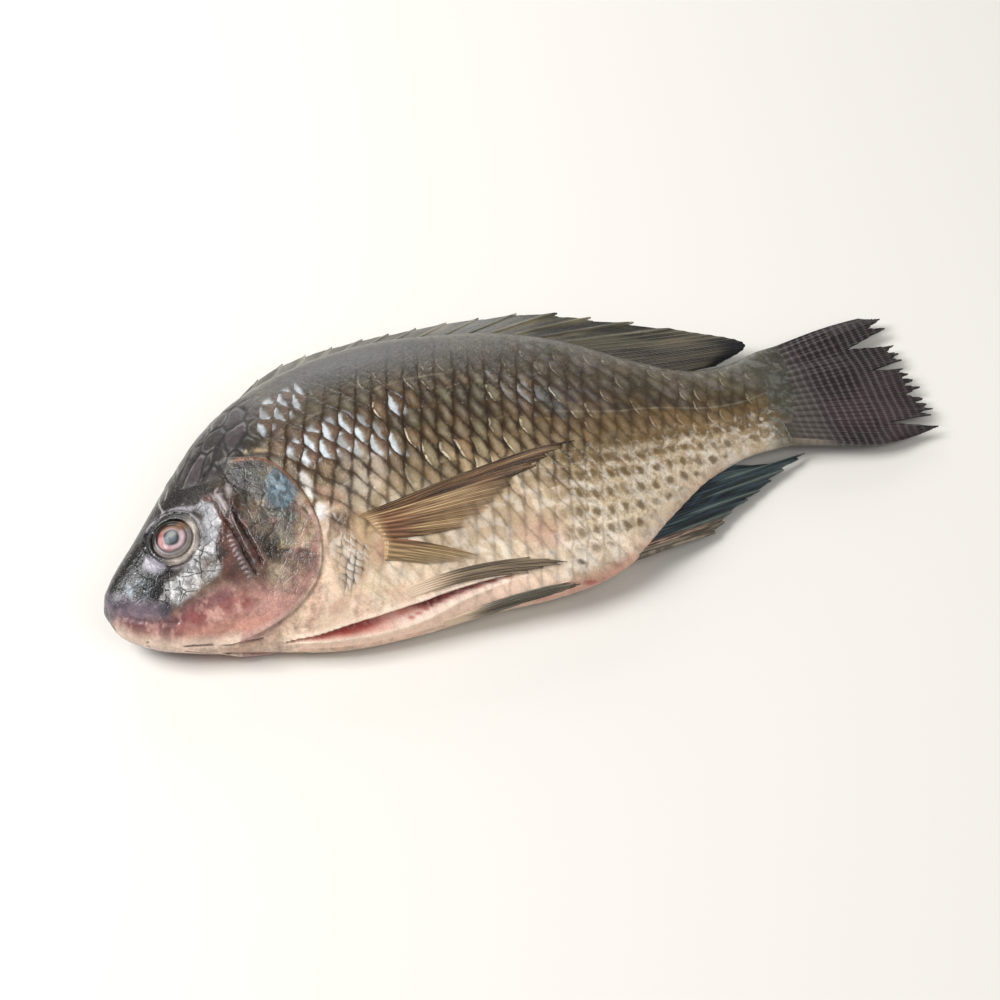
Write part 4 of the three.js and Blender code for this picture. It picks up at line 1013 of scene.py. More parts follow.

    # The bare face: fine dark cracks round small plates and grit in the skin; and over all the skin,
    # pale flecks painted as glints of light on the water.
    bent = add("TexNoise", Vector=at, Scale=1000 / 5, Detail=1.0, out="Color")
    bend = add("VectorMath.MULTIPLY_ADD", bent, (0.003, 0.003, 0.003), at)
    crack = None
    for size, depth, width in ((6.8, 1.0, 0.06), (2.8, 0.4, 0.1)):
        plates = add("TexVoronoi.DISTANCE_TO_EDGE", Vector=bend, Scale=1000 / size)
        line = add("Math.MULTIPLY", add("Math.SUBTRACT", 1.0,
                                        add("MapRange.SMOOTHSTEP", plates, 0.0, width)), depth)
        crack = line if crack is None else add("Math.MAXIMUM", crack, line)
    crack = add("Math.MULTIPLY", add("Math.MULTIPLY", crack, cracked),
                add("MapRange.SMOOTHSTEP", patchy, 0.25, 0.55))
    cell = add("SeparateXYZ", add("TexVoronoi", Vector=bend, Scale=1000 / 6.8, out="Color"))
    grain = add("TexNoise", Vector=at, Scale=1000 / 1.6, Detail=5.0, Roughness=0.7)
    blotch = add("TexNoise", Vector=at, Scale=1000 / 5.5, Detail=4.0, Roughness=0.65)
    light = add("Math.MULTIPLY_ADD", add("Math.SUBTRACT", cell, 0.5), add("Math.MULTIPLY", cracked, 0.7),
                1.0)
    light = add("Math.MULTIPLY", light, add("Math.MULTIPLY_ADD", add("Math.SUBTRACT", grain, 0.5),
                                            add("Math.MULTIPLY", gritty, 1.2), 1.0))
    light = add("Math.MULTIPLY", light, add("Math.MULTIPLY_ADD", add("Math.SUBTRACT", blotch, 0.5),
                                            add("Math.MULTIPLY", gritty, 2.2), 1.0))
    grainy = add("VectorMath.SCALE", colour, light)
    colour = add("Mix.RGBA", add("Math.MULTIPLY", crack, 0.85), grainy, (*linear("#17110e"), 1))
    fleck = add("TexNoise", Vector=at, Scale=1000 / 1.9, Detail=3.0, Roughness=0.7)
    colour = add("Mix.RGBA", add("Math.MULTIPLY", add("MapRange.SMOOTHSTEP", fleck, 0.62, 0.7), glint),
                 colour, (*linear("#b9bfc4"), 1))
    relief_height = add("Math.MULTIPLY_ADD", crack, -0.45, relief_height)
    relief_height = add("Math.MULTIPLY_ADD", add("Math.MULTIPLY", grain, gritty), 0.16, relief_height)
    tree.links.new(relief_height, relief.inputs["Height"])
    tree.links.new(colour, shader.inputs["Base Color"])


# Wet scaled skin: semi-matt scales of 6 to 8 mm with a grain of about half a millimetre, which takes
# the shine off the skin, under a thin film of water, which puts small sharp lights back on it.
wet_skin = wet_material("wet_scaled_skin", 0.6, None, 0.1, 0.35, 0.15)
draw_scales(wet_skin)

HEAD_END, FRONT_END = 62, 172  # where the three lengths meet, in mm from the snout
HEAD_RINGS, FLANK_RINGS = 150, 180
DOWN = 230  # faces from back to keel
STATIONS = np.concatenate([HEAD_END * np.linspace(0, 1, HEAD_RINGS + 1) ** 1.25,
                           np.linspace(HEAD_END, FRONT_END, FLANK_RINGS + 1)[1:],
                           np.linspace(FRONT_END, FLESH_END, FLANK_RINGS + 1)[1:]])
LAST_RING = len(STATIONS) - 1
body_points, body_tint, body_gloss, body_place, body_lattice, body_marks, body_face = joined(
    flank(STATIONS, DOWN, LEFT), flank(STATIONS, DOWN, RIGHT))
body_square = -normals_of(body_points)
for name, first, last in (("head", 0, HEAD_RINGS), ("front_flank", HEAD_RINGS, HEAD_RINGS + FLANK_RINGS),
                          ("rear_flank", HEAD_RINGS + FLANK_RINGS, LAST_RING)):
    part = slice(first, last + 1)
    piece(name, body_points[part], body_tint[part], body_gloss[part], body_place[part], wet_skin,
          close=(first == 0, last == LAST_RING), square=body_square[part],
          more={"lattice": body_lattice[part], "marks": body_marks[part], "face": body_face[part]})

# ---- Gill covers ------------------------------------------------------------------------------
# The bony plate behind each cheek that shuts over the gills. It grows out of the cheek and ends
# behind in a soft, slightly raised edge that lies free on the shoulder.

gill_edge = path([[58, 0.22], [70, 0.32], [80, 0.385], [88, 0.49], [92, 0.61], [92, 0.71], [87, 0.82],
                  [76, 0.9], [64, 0.95], [50, 0.985], [36, 0.996]], 201)
gill_front = path([[57, 0.225], [61, 0.4], [67, 0.49], [69, 0.55], [71, 0.62], [72, 0.69], [69, 0.78],
                   [62, 0.85], [52, 0.91], [42, 0.96], [34.5, 0.99]], 201)
GILL_STEP = 1.7

for side, name in ((LEFT, "gill_cover_left"), (RIGHT, "gill_cover_right")):
    row = np.concatenate([np.linspace(0, 0.93, 60), 1 - 0.07 * (1 - np.linspace(0.1, 1, 8)) ** 2])
    over = np.concatenate([row, row[::-1]])
    face = np.concatenate([np.ones(len(row)), -np.ones(len(row))])
    x = mix(gill_front[:, :1], gill_edge[:, :1], over)
    u = np.clip(mix(gill_front[:, 1:], gill_edge[:, 1:], over), 0, 1)
    s = arc_at(x, u)
    bare = skin(x, u, side)
    height, tint, gloss, _, more = body_look(x, s, bare, side)
    spread = np.linspace(0, 1, len(gill_edge))[:, None]
    free = rise(0, 0.16, spread) * rise(0, 0.1, 1 - spread)
    lift = mix(-0.5, GILL_STEP * free - 0.2, over ** 0.8)
    roll = 0.9 * np.sqrt(np.clip(1 - ((over - 0.93) / 0.07).clip(0, 1) ** 2, 0, 1))
    top = lift + np.clip(height, -0.6, 0.6) * free * fall(0.9, 1, over) - (0.9 - roll) * free
    lifted = np.where(face > 0, top, np.where(over > 0.93, np.maximum(lift - 0.9 - roll, -1.0), -1.0))
    place = bare + outward(x, u, side) * lifted[..., None]
    place[..., 2] = np.maximum(place[..., 2], 0.02)
    piece(name, place, tint, gloss, np.stack([x, s], -1), wet_skin, more=more)

# ---- Eyes -------------------------------------------------------------------------------------
# Each eyeball is a flattened ball set in its socket: a clouded grey lens, a silver and red ringed
# iris, and a grey white outside, all under a clear wet cornea.

# Cornea: clear, smooth and wet, so that it shows small sharp highlights over the rings of the iris.
cornea = wet_material("wet_cornea", 0.8, None, 0.02, 0.25, 0.06)
for socket, value in (("Coat Roughness", 0.03), ("Specular IOR Level", 0.2)):
    cornea.node_tree.nodes["Principled BSDF"].inputs[socket].default_value = value

for side, name, node in ((LEFT, "eyeball_left", "eye_left"), (RIGHT, "eyeball_right", "eye_right")):
    spot, out, tail, up = eye_axes(side)
    centre = spot + out * (EYE_PROUD - EYE_DEPTH)
    polar = np.concatenate([np.linspace(0.004, 1.6, 64), np.linspace(1.6, np.pi - 0.004, 14)[1:]])[:, None]
    turn = np.linspace(0, 2 * np.pi, 97)[None, :-1]
    ring = EYE_RADIUS * np.sin(polar) + 0 * turn
    front = polar < np.pi / 2
    dome = EYE_DEPTH * np.where(front, np.abs(np.cos(polar)) ** 0.5, np.cos(polar))
    dome = dome + front * (0.3 * np.exp(-(ring / 3.4) ** 4) - 0.2 * close_to(ring, 6.6, 0.5))
    a, b = ring * np.cos(turn), ring * np.sin(turn)
    place = centre + a[..., None] * tail + b[..., None] * up + dome[..., None] * out
    place[..., 2] = np.maximum(place[..., 2], 0.25)
    wobble = ring + 0.9 * (clouds(a, b, 3, 71) - 0.5)
    tint = ramp(wobble, [[0, "#6c7678"], [2.1, "#565f61"], [2.9, "#33373a"], [3.3, "#5a5254"],
                         [3.8, "#a89598"],
                         [4.6, "#bba9ab"], [5.3, "#a58487"], [5.8, "#745f61"], [6.2, "#5b5557"],
                         [6.7, "#837c7c"],
                         [7.3, "#6a6362"], [7.8, "#8b817c"], [8.4, "#6e645e"], [9, "#948980"]])
    # A pale spot on the lens: a painted highlight.
    tint = paint(tint, "#a5a49d", 0.6 * blob(a, b, (0.6, 1.2), (1.9, 1.5), 0, 0.6))
    tint = shade(tint, 0.8 + 0.4 * clouds(a, b, 1.4, 74))
    red = rise(3.3, 4.0, wobble) * fall(5.0, 6.0, wobble) * rise(0.1, 0.8, -np.cos(turn - 0.1))
    tint = paint(tint, "#94402f", 0.85 * red * patches(a, b, 3, 73, 0.2, 0.5))
    # Over the outer edge of the eye, on its upper side towards the head, a dark band of painted shade.
    shaded_top = rise(0.2, 0.6, np.cos(turn - 2.06))
    tint = paint(tint, "#6b4a2b", 0.8 * rise(0.4, 0.8, np.cos(turn - 1.25)) * rise(3.2, 4.6, ring))
    tint = paint(tint, "#17120f", 0.95 * shaded_top * rise(5.2, 6.3, ring + 0.8 * clouds(a, b, 2, 72)))
    piece(name, place, tint, np.full(ring.shape, 0.2), np.stack([a, b], -1), cornea, nodes=(node,))

# ---- Fins -------------------------------------------------------------------------------------
# Fans of bony rays joined by thin wet skin, growing out of the body. A ray is a rounded rod that
# stands a little proud of the web on both faces; spines are stiff and end in bare points.


def draw_rays(material, clear=False):
    """Draws rays on fin skin, from the number of rays before each place, how often they have forked
    and how plainly they show: pale rounded rods with dark web between, the rods paler partly in their
    own colour and partly by a painted highlight along their crests, and pale bars across them."""
    tree = material.node_tree
    shader = tree.nodes["Principled BSDF"]
    add = partial(add_node, tree)
    (number, forked, plain), (phase, barred, solid) = [
        add("SeparateXYZ", add("Attribute." + name, out="Vector"), out=ALL) for name in ("rays", "web")]
    rods = []
    for split in (1.0, 2.0, 4.0):
        from_ray = add("Math.ABSOLUTE", add("Math.SUBTRACT",
                                            add("Math.FRACT", add("Math.MULTIPLY_ADD", number, split, 0.5)),
                                            0.5))
        rods.append(add("Math.SUBTRACT", 1.0, add("MapRange.SMOOTHSTEP", from_ray, 0.08, 0.44)))
    rod = rods[0]
    for far, next_rod in ((0.0, rods[1]), (1.0, rods[2])):
        share = add("MapRange.SMOOTHSTEP", forked, far, far + 1.0)
        rod = add("Math.MULTIPLY_ADD", add("Math.SUBTRACT", next_rod, rod), share, rod)
    # Rods lightened and web darkened: partly their own colours, partly a painted highlight along each rod.
    light = add("Math.MULTIPLY_ADD", add("Math.SUBTRACT", rod, 0.5), add("Math.MULTIPLY", plain, 1.5), 1.0)
    lit = add("VectorMath.SCALE", shader.inputs["Base Color"].links[0].from_socket, light)
    wave = add("MapRange.SMOOTHSTEP", add("Math.SINE", add("Math.MULTIPLY", phase, 2 * np.pi)), -0.1, 0.8)
    bar = add("Math.MULTIPLY", add("Math.MULTIPLY", wave, barred), add("Math.MULTIPLY_ADD", rod, 0.5, 0.5))
    barred_colour = add("Mix.RGBA", bar, lit, (*linear("#655a5f"), 1))
    tree.links.new(barred_colour, shader.inputs["Base Color"])
    relief = tree.nodes["Bump"]
    tree.links.new(add("Math.MULTIPLY_ADD", add("Math.MULTIPLY", rod, plain), 0.25,
                       relief.inputs["Height"].links[0].from_socket),
                   relief.inputs["Height"])
    if clear:
        seen = add("Math.MULTIPLY_ADD", add("Math.MULTIPLY", add("Math.SUBTRACT", 1.0, rod), 0.9),
                   add("Math.SUBTRACT", 1.0, solid), 0.0)
        tree.links.new(add("Math.MULTIPLY", add("Math.SUBTRACT", 1.0, seen),
                           add("MapRange.SMOOTHSTEP", solid, 0.02, 0.3)), shader.inputs["Alpha"])


# Fin skin: thin, slick and slightly uneven, with hair-fine streaks that follow the rays.
fin_skin = wet_material("wet_fin_skin", 0.4, (1.0, 0.12, 1.0), 0.08, 0.35, 0.16)
draw_rays(fin_skin)

FIN_EDGE = 0.4


def two_faced(rows):
    """Rows from root to edge over a fin's upper face and back over its lower face."""
    row = np.linspace(0, 1, rows)
    return np.concatenate([row, row[::-1]]), np.concatenate([np.ones(rows), -np.ones(rows)])


def looks(tint, gloss, number, forked=0, plain=0.6, phase=0, barred=0, solid=1):
    """Colour and gloss of a fin with its ray and web values as two vectors a point."""
    fill = np.zeros(tint.shape[:2])
    return tint, gloss + fill, {"rays": np.stack([number + fill, forked + fill, plain + fill], -1),
                                "web": np.stack([phase + fill, barred + fill, solid + fill], -1)}


def free_fin(name, columns, rows, root, edge, reach, root_half, relief, bend, colours, ripple=0.5):
    """A fin that stands off the body. Each line runs straight from root to edge as far as reach says,
    with half its thickness falling with the root of the row, plus the rays' relief."""
    row, face = two_faced(rows)
    t = columns[:, None]
    start, end = root(columns)[:, None], edge(columns)[:, None]
    along = row[None, :] * reach(columns)[:, None]
    line = mix(start, end, along[..., None]) + bend(t, along)
    half = mix(root_half, FIN_EDGE, np.sqrt(row))[None, :] + relief(t, along)
    middle = line[..., 2] + ripple * row * np.sin(t * 19 + row * 4)
    low = np.maximum(middle, half + 0.02)
    line[..., 2] = low + face * half
    length = np.linalg.norm(end - start, axis=-1)
    tint, gloss, more = colours(t, along, along * length)
    place = np.stack([t * 130 + 0 * along, along * length], -1)
    piece(name, line, tint, gloss, place, fin_skin, more=more)


def track(points):
    """A smooth line as a function of its parameter from 0 to 1."""
    knots = np.array(points, float)
    at = np.linspace(0, 1, len(knots))
    parts = [smooth(np.stack([at, column], 1)) for column in knots.T]
    return lambda t: np.stack([part(t) for part in parts], -1)


def tips(points):
    """A worn edge through [x, y, z, tear] tips of rays, where tear is how deep the web is torn from
    there to the next tip, as a share of the fin's length. Gives its line and its reach."""
    knots = np.array(points, float)
    share = np.concatenate([[0], np.cumsum(np.linalg.norm(np.diff(knots[:, :3], axis=0), axis=1))])
    share /= share[-1]

    def edge(t):
        return np.stack([np.interp(t, share, column) for column in knots.T[:3]], -1)

    def reach(t):
        i = np.clip(np.searchsorted(share, t, side="right") - 1, 0, len(knots) - 2)
        part = (t - share[i]) / (share[i + 1] - share[i])
        return 1 - knots[i, 3] * (1 - np.abs(2 * part - 1)) ** 0.8

    return edge, reach


def still(t, along):
    """No bend: the fin lies straight from root to edge."""
    return np.zeros(np.broadcast_shapes(np.shape(t), np.shape(along)) + (3,))


def ray_lines(number, sharp):
    """1 on each ray and 0 between them, for a number of rays that runs along the fin."""
    return (0.5 + 0.5 * np.cos(2 * np.pi * number)) ** sharp


# The back fin: spines folded back low over the ridge, then a lobe of soft rays with a black tip.
SPINES, SPINY_PART = 15, 0.78
SOFT_RAYS = 12


def back_reach(t):
    """How far the fin reaches: a bare tip at each spine with web cut in behind it, then the soft lobe."""
    spine = t / SPINY_PART * SPINES
    step = spine % 1
    tip = rise(0.8, 0.97, step) * (1 - 0.5 * rise(0.97, 1.0, step))
    web = 0.9 + 0.06 * step ** 2 + 0.02 * np.sin(spine * 2.3) - 0.03 * chance(np.floor(spine * 4), 3, 82)
    soft = 1 - 0.008 * (0.5 - 0.5 * np.cos(2 * np.pi * (t - SPINY_PART) / (1 - SPINY_PART) * SOFT_RAYS))
    return np.where(t < SPINY_PART, np.minimum(web + 0.08 * tip, 1), soft)


def back_number(t):
    """How many spines, or past them soft rays, lie before a place."""
    return np.where(t < SPINY_PART, t / SPINY_PART * SPINES - 0.93,
                    (t - SPINY_PART) / (1 - SPINY_PART) * SOFT_RAYS)


def back_relief(t, along):
    """Spines stand out more than soft rays, and both get thinner outward."""
    rods = ray_lines(back_number(t), np.where(t < SPINY_PART, 14, 5))
    return rods * np.where(t < SPINY_PART, 0.6, 0.28) * (1 - 0.6 * along)


def back_colours(t, along, mm):
    """Olive black web with paler spines, a barred lobe and a black tip."""
    number = back_number(t) + 0 * along
    spiny = t < SPINY_PART
    rods = ray_lines(number, np.where(spiny, 9, 4))
    streak = clouds(number * 9, mm * 0.3, 6, 81)
    patch = clouds(t * 90, mm * 0.6, 9, 83)
    tint = ramp(streak, [[0.25, "#1b1812"], [0.42, "#2e2a21"], [0.58, "#454032"], [0.8, "#655c48"]])
    tint = paint(tint, "#55523f", 0.45 * rise(0.45, 0.7, patch))
    # Paler spines and rays: partly their own colour, partly a painted highlight along them.
    tint = paint(tint, "#7b705c", 0.3 * rods)
    tint = paint(tint, "#17140f", 0.6 * ray_lines(number + 0.3, 3) * spiny)
    lobe = rise(0.8, 0.9, t)
    tint = paint(tint, "#191814", 0.35 * lobe)
    tint = paint(tint, "#2a2016", 0.8 * rise(0.93, 0.98, along) * spiny)
    tint = paint(tint, "#0c0d11", 0.95 * rise(0.74, 0.92, along) * rise(0.84, 0.9, t))
    tint = paint(tint, "#d9cfc4", 0.85 * rise(0.965, 0.985, along) * spiny * rods
                 * (chance(np.round(number), 4, 84) > 0.5))
    tint = paint(tint, "#8f8b86", 0.5 * rise(0.86, 0.94, along) * spiny * rise(0.12, 0.2, t)
                 * fall(0.3, 0.38, t))
    return looks(tint, 0.3 + 0.15 * streak, number * np.where(t > SPINY_PART, 2, 1), 0, 0.15 + 0.3 * lobe,
                 mm / 2.6 + 0.25 * number + 0.5 * streak, 0.45 * lobe * fall(0.7, 0.85, along))


def back_root(t):
    """The line where the fin grows out of the ridge."""
    x = mix(62, 259, t)
    return np.stack([x, back_line(x) - 3, back_height(x)], -1)


columns = np.concatenate([np.linspace(0, SPINY_PART, SPINES * 14 + 1),
                          np.linspace(SPINY_PART, 1, SOFT_RAYS * 8 + 1)[1:]])
free_fin("back_fin", columns, 56, back_root,
         track([[68, 70, 27], [92, 88.5, 26], [114, 93.5, 26], [138, 94, 26], [162, 93, 25], [188, 90.4, 23],
                [219, 84.8, 21], [249, 73.5, 17], [277, 58.5, 13], [299.5, 44.6, 10.3], [283, 37, 12]]),
         back_reach, 2.0, back_relief, still, back_colours)

# The tail fin: soft rays that fork again and again, worn and torn at the end.
TAIL_RAYS = 17
tail_edge, tail_tears = tips([[347, -24.6, 6, 0], [361.8, -23.6, 5.2, 0.32], [362.5, -17, 5.1, 0.1],
                              [364, -13.6, 5, 0.07], [363.6, -10.3, 5, 0.09],
                              [363.4, -6.6, 5, 0.12], [363.9, -0.3, 5, 0.1], [363, 3.8, 5.1, 0.08],
                              [361.8, 7.4, 5.2, 0.07],
                              [361.2, 10.8, 5.2, 0.25], [362.8, 15.8, 5.3, 0.07], [363.4, 20.4, 5.3, 0.08],
                              [362.6, 25.4, 5.2, 0.33], [363.5, 35, 5, 0.13], [363, 40.4, 5.2, 0.02],
                              [354, 44.4, 5.8, 0]])


def tail_reach(t):
    """How far the fin reaches: torn where the tips say, and frayed between the ray ends."""
    return tail_tears(t) - 0.014 * (0.5 - 0.5 * np.cos(2 * np.pi * t * TAIL_RAYS
                                                       * 4)) * (1 + chance(np.floor(t * 60), 0, 91))


def tail_forks(along):
    """How often a ray has forked: once a third of the way out and again past the middle."""
    return rise(0.25, 0.4, along) + rise(0.55, 0.7, along)


def tail_colours(t, along, mm):
    """Brown black, olive over the scaled root, reddish at the lower corner, with pale bars."""
    cloudy = clouds(t * 60, mm, 16, 93)
    tint = ramp(cloudy, [[0.3, "#1b1413"], [0.5, "#261c1c"], [0.7, "#342828"]])
    tint = paint(tint, "#3f3a35", 0.75 * fall(0.1, 0.42, along + 0.2 * (cloudy - 0.5)))
    tint = paint(tint, "#443f36", 0.85 * fall(8, 24, mm + 8 * (cloudy - 0.5)))
    tint = paint(tint, "#2a1416", 0.55 * rise(0.7, 0.95, along) * fall(0.05, 0.2, t))
    tint = paint(tint, "#8f8370", 0.5 * fall(0.0, 0.008, t) * fall(10, 22, mm))
    wave = mm / 3.5 + 0.35 * (clouds(t * 60, mm, 9, 92) - 0.5)
    barred = 0.55 * rise(0, 9, mm) * (1 - 0.55 * rise(0.72, 0.95, along)) * (0.75 + 0.5
                                                                             * clouds(t * 50, mm, 7, 94))
    return looks(tint, 0.34 + 0.12 * cloudy, t * TAIL_RAYS, tail_forks(along), 0.4 * rise(1, 8, mm), wave,
                 barred)


def tail_root(t):
    """The upright line in the stalk that the rays start from."""
    return np.stack([0 * t + 297, mix(-13.8, 34.8, t), 0 * t + 11.8], -1)


def tail_bend(t, along):
    """The outer rays bow outward before they run back to the tips."""
    swell = mix(3.4, 1.0, t) * (2 * t - 1) ** 3 * np.sin(np.pi * along ** 1.6)
    return np.stack([0 * swell, swell, 0 * swell], -1)


free_fin("tail_fin", np.linspace(0, 1, TAIL_RAYS * 18 + 1), 80, tail_root, tail_edge, tail_reach, 3.0,
         lambda t, along: 0.22 * ray_lines(t * TAIL_RAYS, 2) * (1 - 0.5 * along), tail_bend, tail_colours,
         0.7)

# The vent fin: three spines and a fan of soft rays, folded back under the stalk.
VENT_RAYS = 12


def vent_colours(t, along, mm):
    """Blue grey web with paler rays, and a fleshy pale strip along the front spines."""
    streak = clouds(t * 110, mm * 0.3, 8, 101)
    tint = ramp(streak, [[0.3, "#10161a"], [0.48, "#1e282d"], [0.62, "#303d42"], [0.8, "#566460"]])
    tint = paint(tint, "#3f556f", 0.55 * patches(t * 50, mm, 6, 103, 0.5, 0.7) * fall(0.3, 0.55, along)
                 * rise(0.3, 0.5, t))
    tint = paint(tint, "#7b8a80", 0.55 * ray_lines(t * VENT_RAYS * 0.5, 8) * rise(0.2, 0.5, along))
    strip = fall(0.08, 0.17, t)
    tint = paint(tint, "#8b7c69", 0.85 * strip)
    tint = paint(tint, "#d0a48e", 0.75 * strip * blob(along, t * 4, (0.35, 0.5), (0.35, 0.16), 0, 0.7))
    tint = paint(tint, "#35302a", 0.8 * fall(0.1, 0.2, t) * patches(t * 150, mm * 0.5, 4, 104, 0.42, 0.6))
    tint = paint(tint, "#b58f7a", 0.7 * fall(0.03, 0.12, along))
    return looks(tint, 0.3 + 0.15 * streak, t * VENT_RAYS * 2, rise(0.3, 0.5, along), 0.5)


def vent_root(t):
    """The line where the fin grows out of the keel."""
    x = mix(211, 262, t)
    return np.stack([x, keel_line(x) + mix(1.5, 4, t), keel_height(x)], -1)


free_fin("vent_fin", np.linspace(0, 1, VENT_RAYS * 16 + 1), 60, vent_root,
         track([[253, -41.5, 4], [264, -34, 3.8], [279, -27, 3.6], [292, -21, 3.6], [304.5, -15.4, 3.8],
                [295, -17.4, 4.2], [283, -17, 5.4]]),
         lambda t: 1 - 0.06 * np.abs(np.sin(t * np.pi * VENT_RAYS)) - 0.04
         * chance(np.floor(t * 30), 1, 102),
         2.4, lambda t, along: 0.3 * ray_lines(t * VENT_RAYS, 4) * (1 - 0.5 * along), still, vent_colours,
         0.4)

# The breast fins: long, clear, pinkish brown fans that lie pressed along each flank.
# Clear fin skin: as the other fins, but so thin between the rays that the flank shows through.
clear_skin = wet_material("wet_clear_fin", 0.35, (1.0, 0.1, 1.0), 0.07, 0.4, 0.14)
draw_rays(clear_skin, clear=True)


def u_at(x, s):
    """The place down the left flank that lies s mm from the back, found by halving."""
    low, high = np.zeros(x.shape), np.ones(x.shape)
    for _ in range(20):
        half = (low + high) / 2
        short = arc_at(x, half) < s
        low, high = np.where(short, half, low), np.where(short, high, half)
    return (low + high) / 2


def on_skin(x, s, side, height):
    """A point at a height over a place of the unrolled skin; past the keel it is on the other flank."""
    past = s > arc_total(x)
    u = u_at(x, np.where(past, 2 * arc_total(x) - s, s))
    near = skin(x, u, side) + outward(x, u, side) * height[..., None]
    far = skin(x, u, -side) + outward(x, u, -side) * height[..., None]
    return np.where(past[..., None], far, near)


def pressed_fin(name, columns, rows, side, root, edge, reach, thick, relief, colours, grow=0.04, sag=0,
                material=fin_skin):
    """A fin that lies on the skin: lines run over the flank from root to edge, both as [x, s], and
    stand off it by the web's thickness and the rays' relief, which grow out of the skin over a share
    of the length. The upper lines sag towards the keel."""
    row, face = two_faced(rows)
    t = columns[:, None]
    start, end = root(columns)[:, None, :2], edge(columns)[:, None, :2]
    along = row[None, :] * reach(columns)[:, None]
    place = mix(start, end, along[..., None])
    place[..., 1] += sag * np.clip(1 - t / 0.8, 0, 1) * np.sin(np.pi * along ** 0.8)
    upper = mix(thick, 0.7, np.sqrt(row))[None, :] + relief(t, along)
    rim = np.minimum(np.minimum(t, 1 - t) * len(columns) / 4, (1 - row[None, :]) * rows / 3)
    upper = upper * np.sqrt(np.clip(rim, 0.15, 1)) * mix(0.1, 1, rise(0, grow, along))
    point = on_skin(place[..., 0], place[..., 1], side, np.where(face > 0, upper, -0.6))
    point[..., 2] = np.maximum(point[..., 2], 0)
    length = np.linalg.norm(end - start, axis=-1)
    tint, gloss, more = colours(t, along, along * length)
    flat = np.stack([t * 60 + 0 * along, along * length], -1)
    piece(name, point, tint, gloss, flat, material, more=more)


BREAST_RAYS = 15
breast_edge, breast_tears = tips([[207, 74.4, 0, 0.03], [199, 80, 0, 0.05], [192, 85.4, 0, 0.04],
                                  [186, 90.5, 0, 0.1],
                                  [177, 97.5, 0, 0.07], [169, 104, 0, 0.09], [161, 110.5, 0, 0.05],
                                  [151, 115.8, 0, 0.88],
                                  [155, 130.4, 0, 0.06], [147, 130.6, 0, 0.05], [131, 127.5, 0, 0]])


def breast_colours(t, along, mm):
    """Clear brown web over the flank, darker in front and thinnest at the edge."""
    streak = clouds(t * 150, mm * 0.2, 7, 111)
    tint = ramp(streak, [[0.3, "#3a291c"], [0.45, "#5f4631"], [0.57, "#826548"], [0.72, "#ab8f69"]])
    tint = paint(tint, "#855a42", 0.5 * fall(0.15, 0.45, along) * rise(0.15, 0.45, t))
    tint = paint(tint, "#96784f", 0.4 * rise(0.3, 0.5, along) * rise(0.3, 0.5, t))
    tint = paint(tint, "#2e2115", 0.75 * fall(0.02, 0.13, t + 0.06 * (streak - 0.5)))
    tint = paint(tint, "#9c8560", 0.6 * rise(0.74, 0.82, t))
    tint = paint(tint, "#a68862", 0.85 * fall(0.01, 0.12, along + 0.05 * (streak - 0.5)))
    tint = paint(tint, "#33301e", 0.7 * blob(along, t, (0.95, 0.32), (0.12, 0.05), 0, 0.6))
    tint = paint(tint, "#33291c", 0.6 * rise(0.8, 1, along) * fall(0.1, 0.25, t))
    thin = rise(0.12, 0.5, t) * rise(0.25, 0.85, along)
    solid = 0.97 - 0.68 * thin
    solid = solid * (1 - rise(0.75, 1.0, along + 0.2 * (streak - 0.5)) * rise(0.1, 0.35, t) * 0.85)
    return looks(tint, 0.3 + 0.1 * streak, t * BREAST_RAYS, 1.6 * rise(0.15, 0.6, along),
                 0.6 * rise(0.0, 0.14, along), 0, 0, solid)


for side, name in ((LEFT, "breast_fin_left"), (RIGHT, "breast_fin_right")):
    pressed_fin(name, np.linspace(0, 1, 241), 56, side,
                track([[106, 97], [110.6, 99.6], [113.2, 104.4], [115, 111.5], [113, 119]]),
                breast_edge, lambda t: breast_tears(t) - 0.03 * chance(np.floor(t * 40), 2, 112), 1.7,
                lambda t, along: 0.3 * ray_lines(t * BREAST_RAYS, 2) * (1 - 0.6 * along), breast_colours,
                0.06, 6.5, clear_skin)


# The belly fins: narrow folded bundles beside the cut; the right one lies round the keel.
def belly_colours(t, along, mm):
    """Greyish cream bundles of rays that start pink and fleshy."""
    streak = clouds(t * 45, mm * 0.2, 6, 121)
    tint = ramp(streak, [[0.28, "#574b3d"], [0.45, "#7f6e59"], [0.6, "#9f8e75"], [0.8, "#bfae92"]])
    tint = paint(tint, "#463c30", 0.4 * fall(0.03, 0.12, t) + 0.3 * rise(0.85, 1, along))
    tint = paint(tint, "#dcc1a6", 0.95 * fall(0.05, 0.4, along + 0.2 * (streak - 0.5)))
    return looks(tint, 0.32 + 0.1 * streak, t * 6, 0.8 * rise(0.3, 0.7, along),
                 0.35 * rise(0.1, 0.35, along))


def belly_colours_right(t, along, mm):
    """As the left one, with a greener web and pinkish tips."""
    tint, gloss, more = belly_colours(t, along, mm)
    tint = paint(tint, "#4f5248", 0.6 * rise(0.15, 0.4, along))
    tint = paint(tint, "#e0c0b0", 0.8 * rise(0.8, 0.95, along) * ray_lines(t * 5, 3))
    return tint, gloss, more


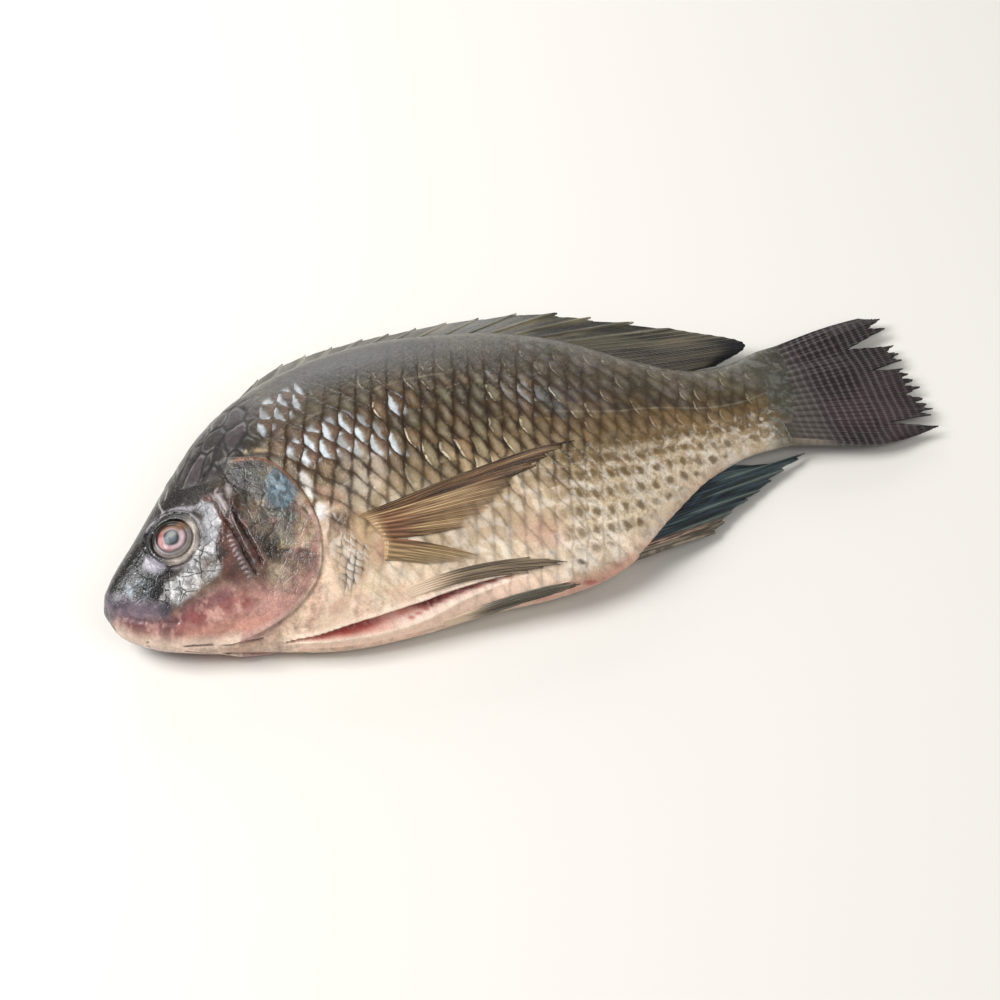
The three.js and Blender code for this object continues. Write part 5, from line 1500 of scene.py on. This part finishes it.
for side, name, root, edge, colours in (
        (LEFT, "belly_fin_left", [[117, 132.8], [117.5, 135.2], [120, 137.8]],
         [[172, 130.8], [186, 133.2], [177, 136], [162, 137.6]], belly_colours),
        (LEFT, "belly_fin_right", [[130, 152.6], [130, 154.6], [132, 157]],
         [[186, 141.2], [189, 142.8], [184, 145.4], [172, 149.8]], belly_colours_right)):
    pressed_fin(name, np.linspace(0, 1, 61), 70, side, track(root), track(edge),
                lambda t: 1 - 0.06 * np.abs(np.sin(t * 19)) - 0.05 * chance(np.floor(t * 14), 5, 122),
                2.0, lambda t, along: 0.3 * ray_lines(t * 6, 2), colours, 0.35)

# ---- Setting ----------------------------------------------------------------------------------
# A plain pale table top and soft studio light: a soft box on the side of the head and high up, a
# low one far behind the back, a weak one in front, and a dim even surround.

table = bpy.data.meshes.new("table_top")
table.from_pydata([(-2, -2, 0), (2, -2, 0), (2, 2, 0), (-2, 2, 0)], [], [(0, 1, 2, 3)])
floor = bpy.data.objects.new("table_top", table)
bpy.context.scene.collection.objects.link(floor)
pale = bpy.data.materials.new("pale_table")
pale.use_nodes = True
for socket, value in (("Base Color", (*linear("#dad6cf"), 1)), ("Roughness", 0.8)):
    pale.node_tree.nodes["Principled BSDF"].inputs[socket].default_value = value
table.materials.append(pale)

world = bpy.data.worlds.new("surround")
bpy.context.scene.world = world
world.use_nodes = True
for socket, value in (("Color", (*linear("#f2f4f6"), 1)), ("Strength", 0.34)):
    world.node_tree.nodes["Background"].inputs[socket].default_value = value

for name, place, size, power in (("soft_box_head", (-1.0, 0.3, 1.15), 0.8, 30),
                                 ("soft_box_back", (0.15, 1.5, 0.55), 0.9, 9),
                                 ("soft_box_front", (0.5, -0.9, 1.3), 0.7, 7)):
    light = bpy.data.lights.new(name, "AREA")
    light.shape, light.size, light.energy = "SQUARE", size, power
    lamp = bpy.data.objects.new(name, light)
    lamp.location = place
    lamp.rotation_mode = "QUATERNION"
    lamp.rotation_quaternion = (Vector((0, 0, 0.02)) - Vector(place)).to_track_quat("-Z", "Y")
    bpy.context.scene.collection.objects.link(lamp)

camera = bpy.data.cameras.new("camera")
camera.lens, camera.sensor_width = 100.06, 36
CAMERA_AT, CAMERA_AIM = (-20.812, -675.753, 944.911), (173.837, 9.212, 0)  # mm, from the snout tip
CAMERA_ROLL = -3.758  # degrees
eye = bpy.data.objects.new("camera", camera)
stands = (Vector(CAMERA_AT) - Vector(MIDDLE)) / 1000
looks_at = (Vector(CAMERA_AIM) - Vector(MIDDLE)) / 1000
aim = (looks_at - stands).to_track_quat("-Z", "Y").to_matrix().to_4x4()
eye.matrix_world = Matrix.Translation(stands) @ aim @ Matrix.Rotation(np.radians(CAMERA_ROLL), 4, "Z")
camera.clip_start, camera.clip_end = 0.05, 10
bpy.context.scene.collection.objects.link(eye)
bpy.context.scene.camera = eye
bpy.context.scene.view_settings.view_transform = "Standard"
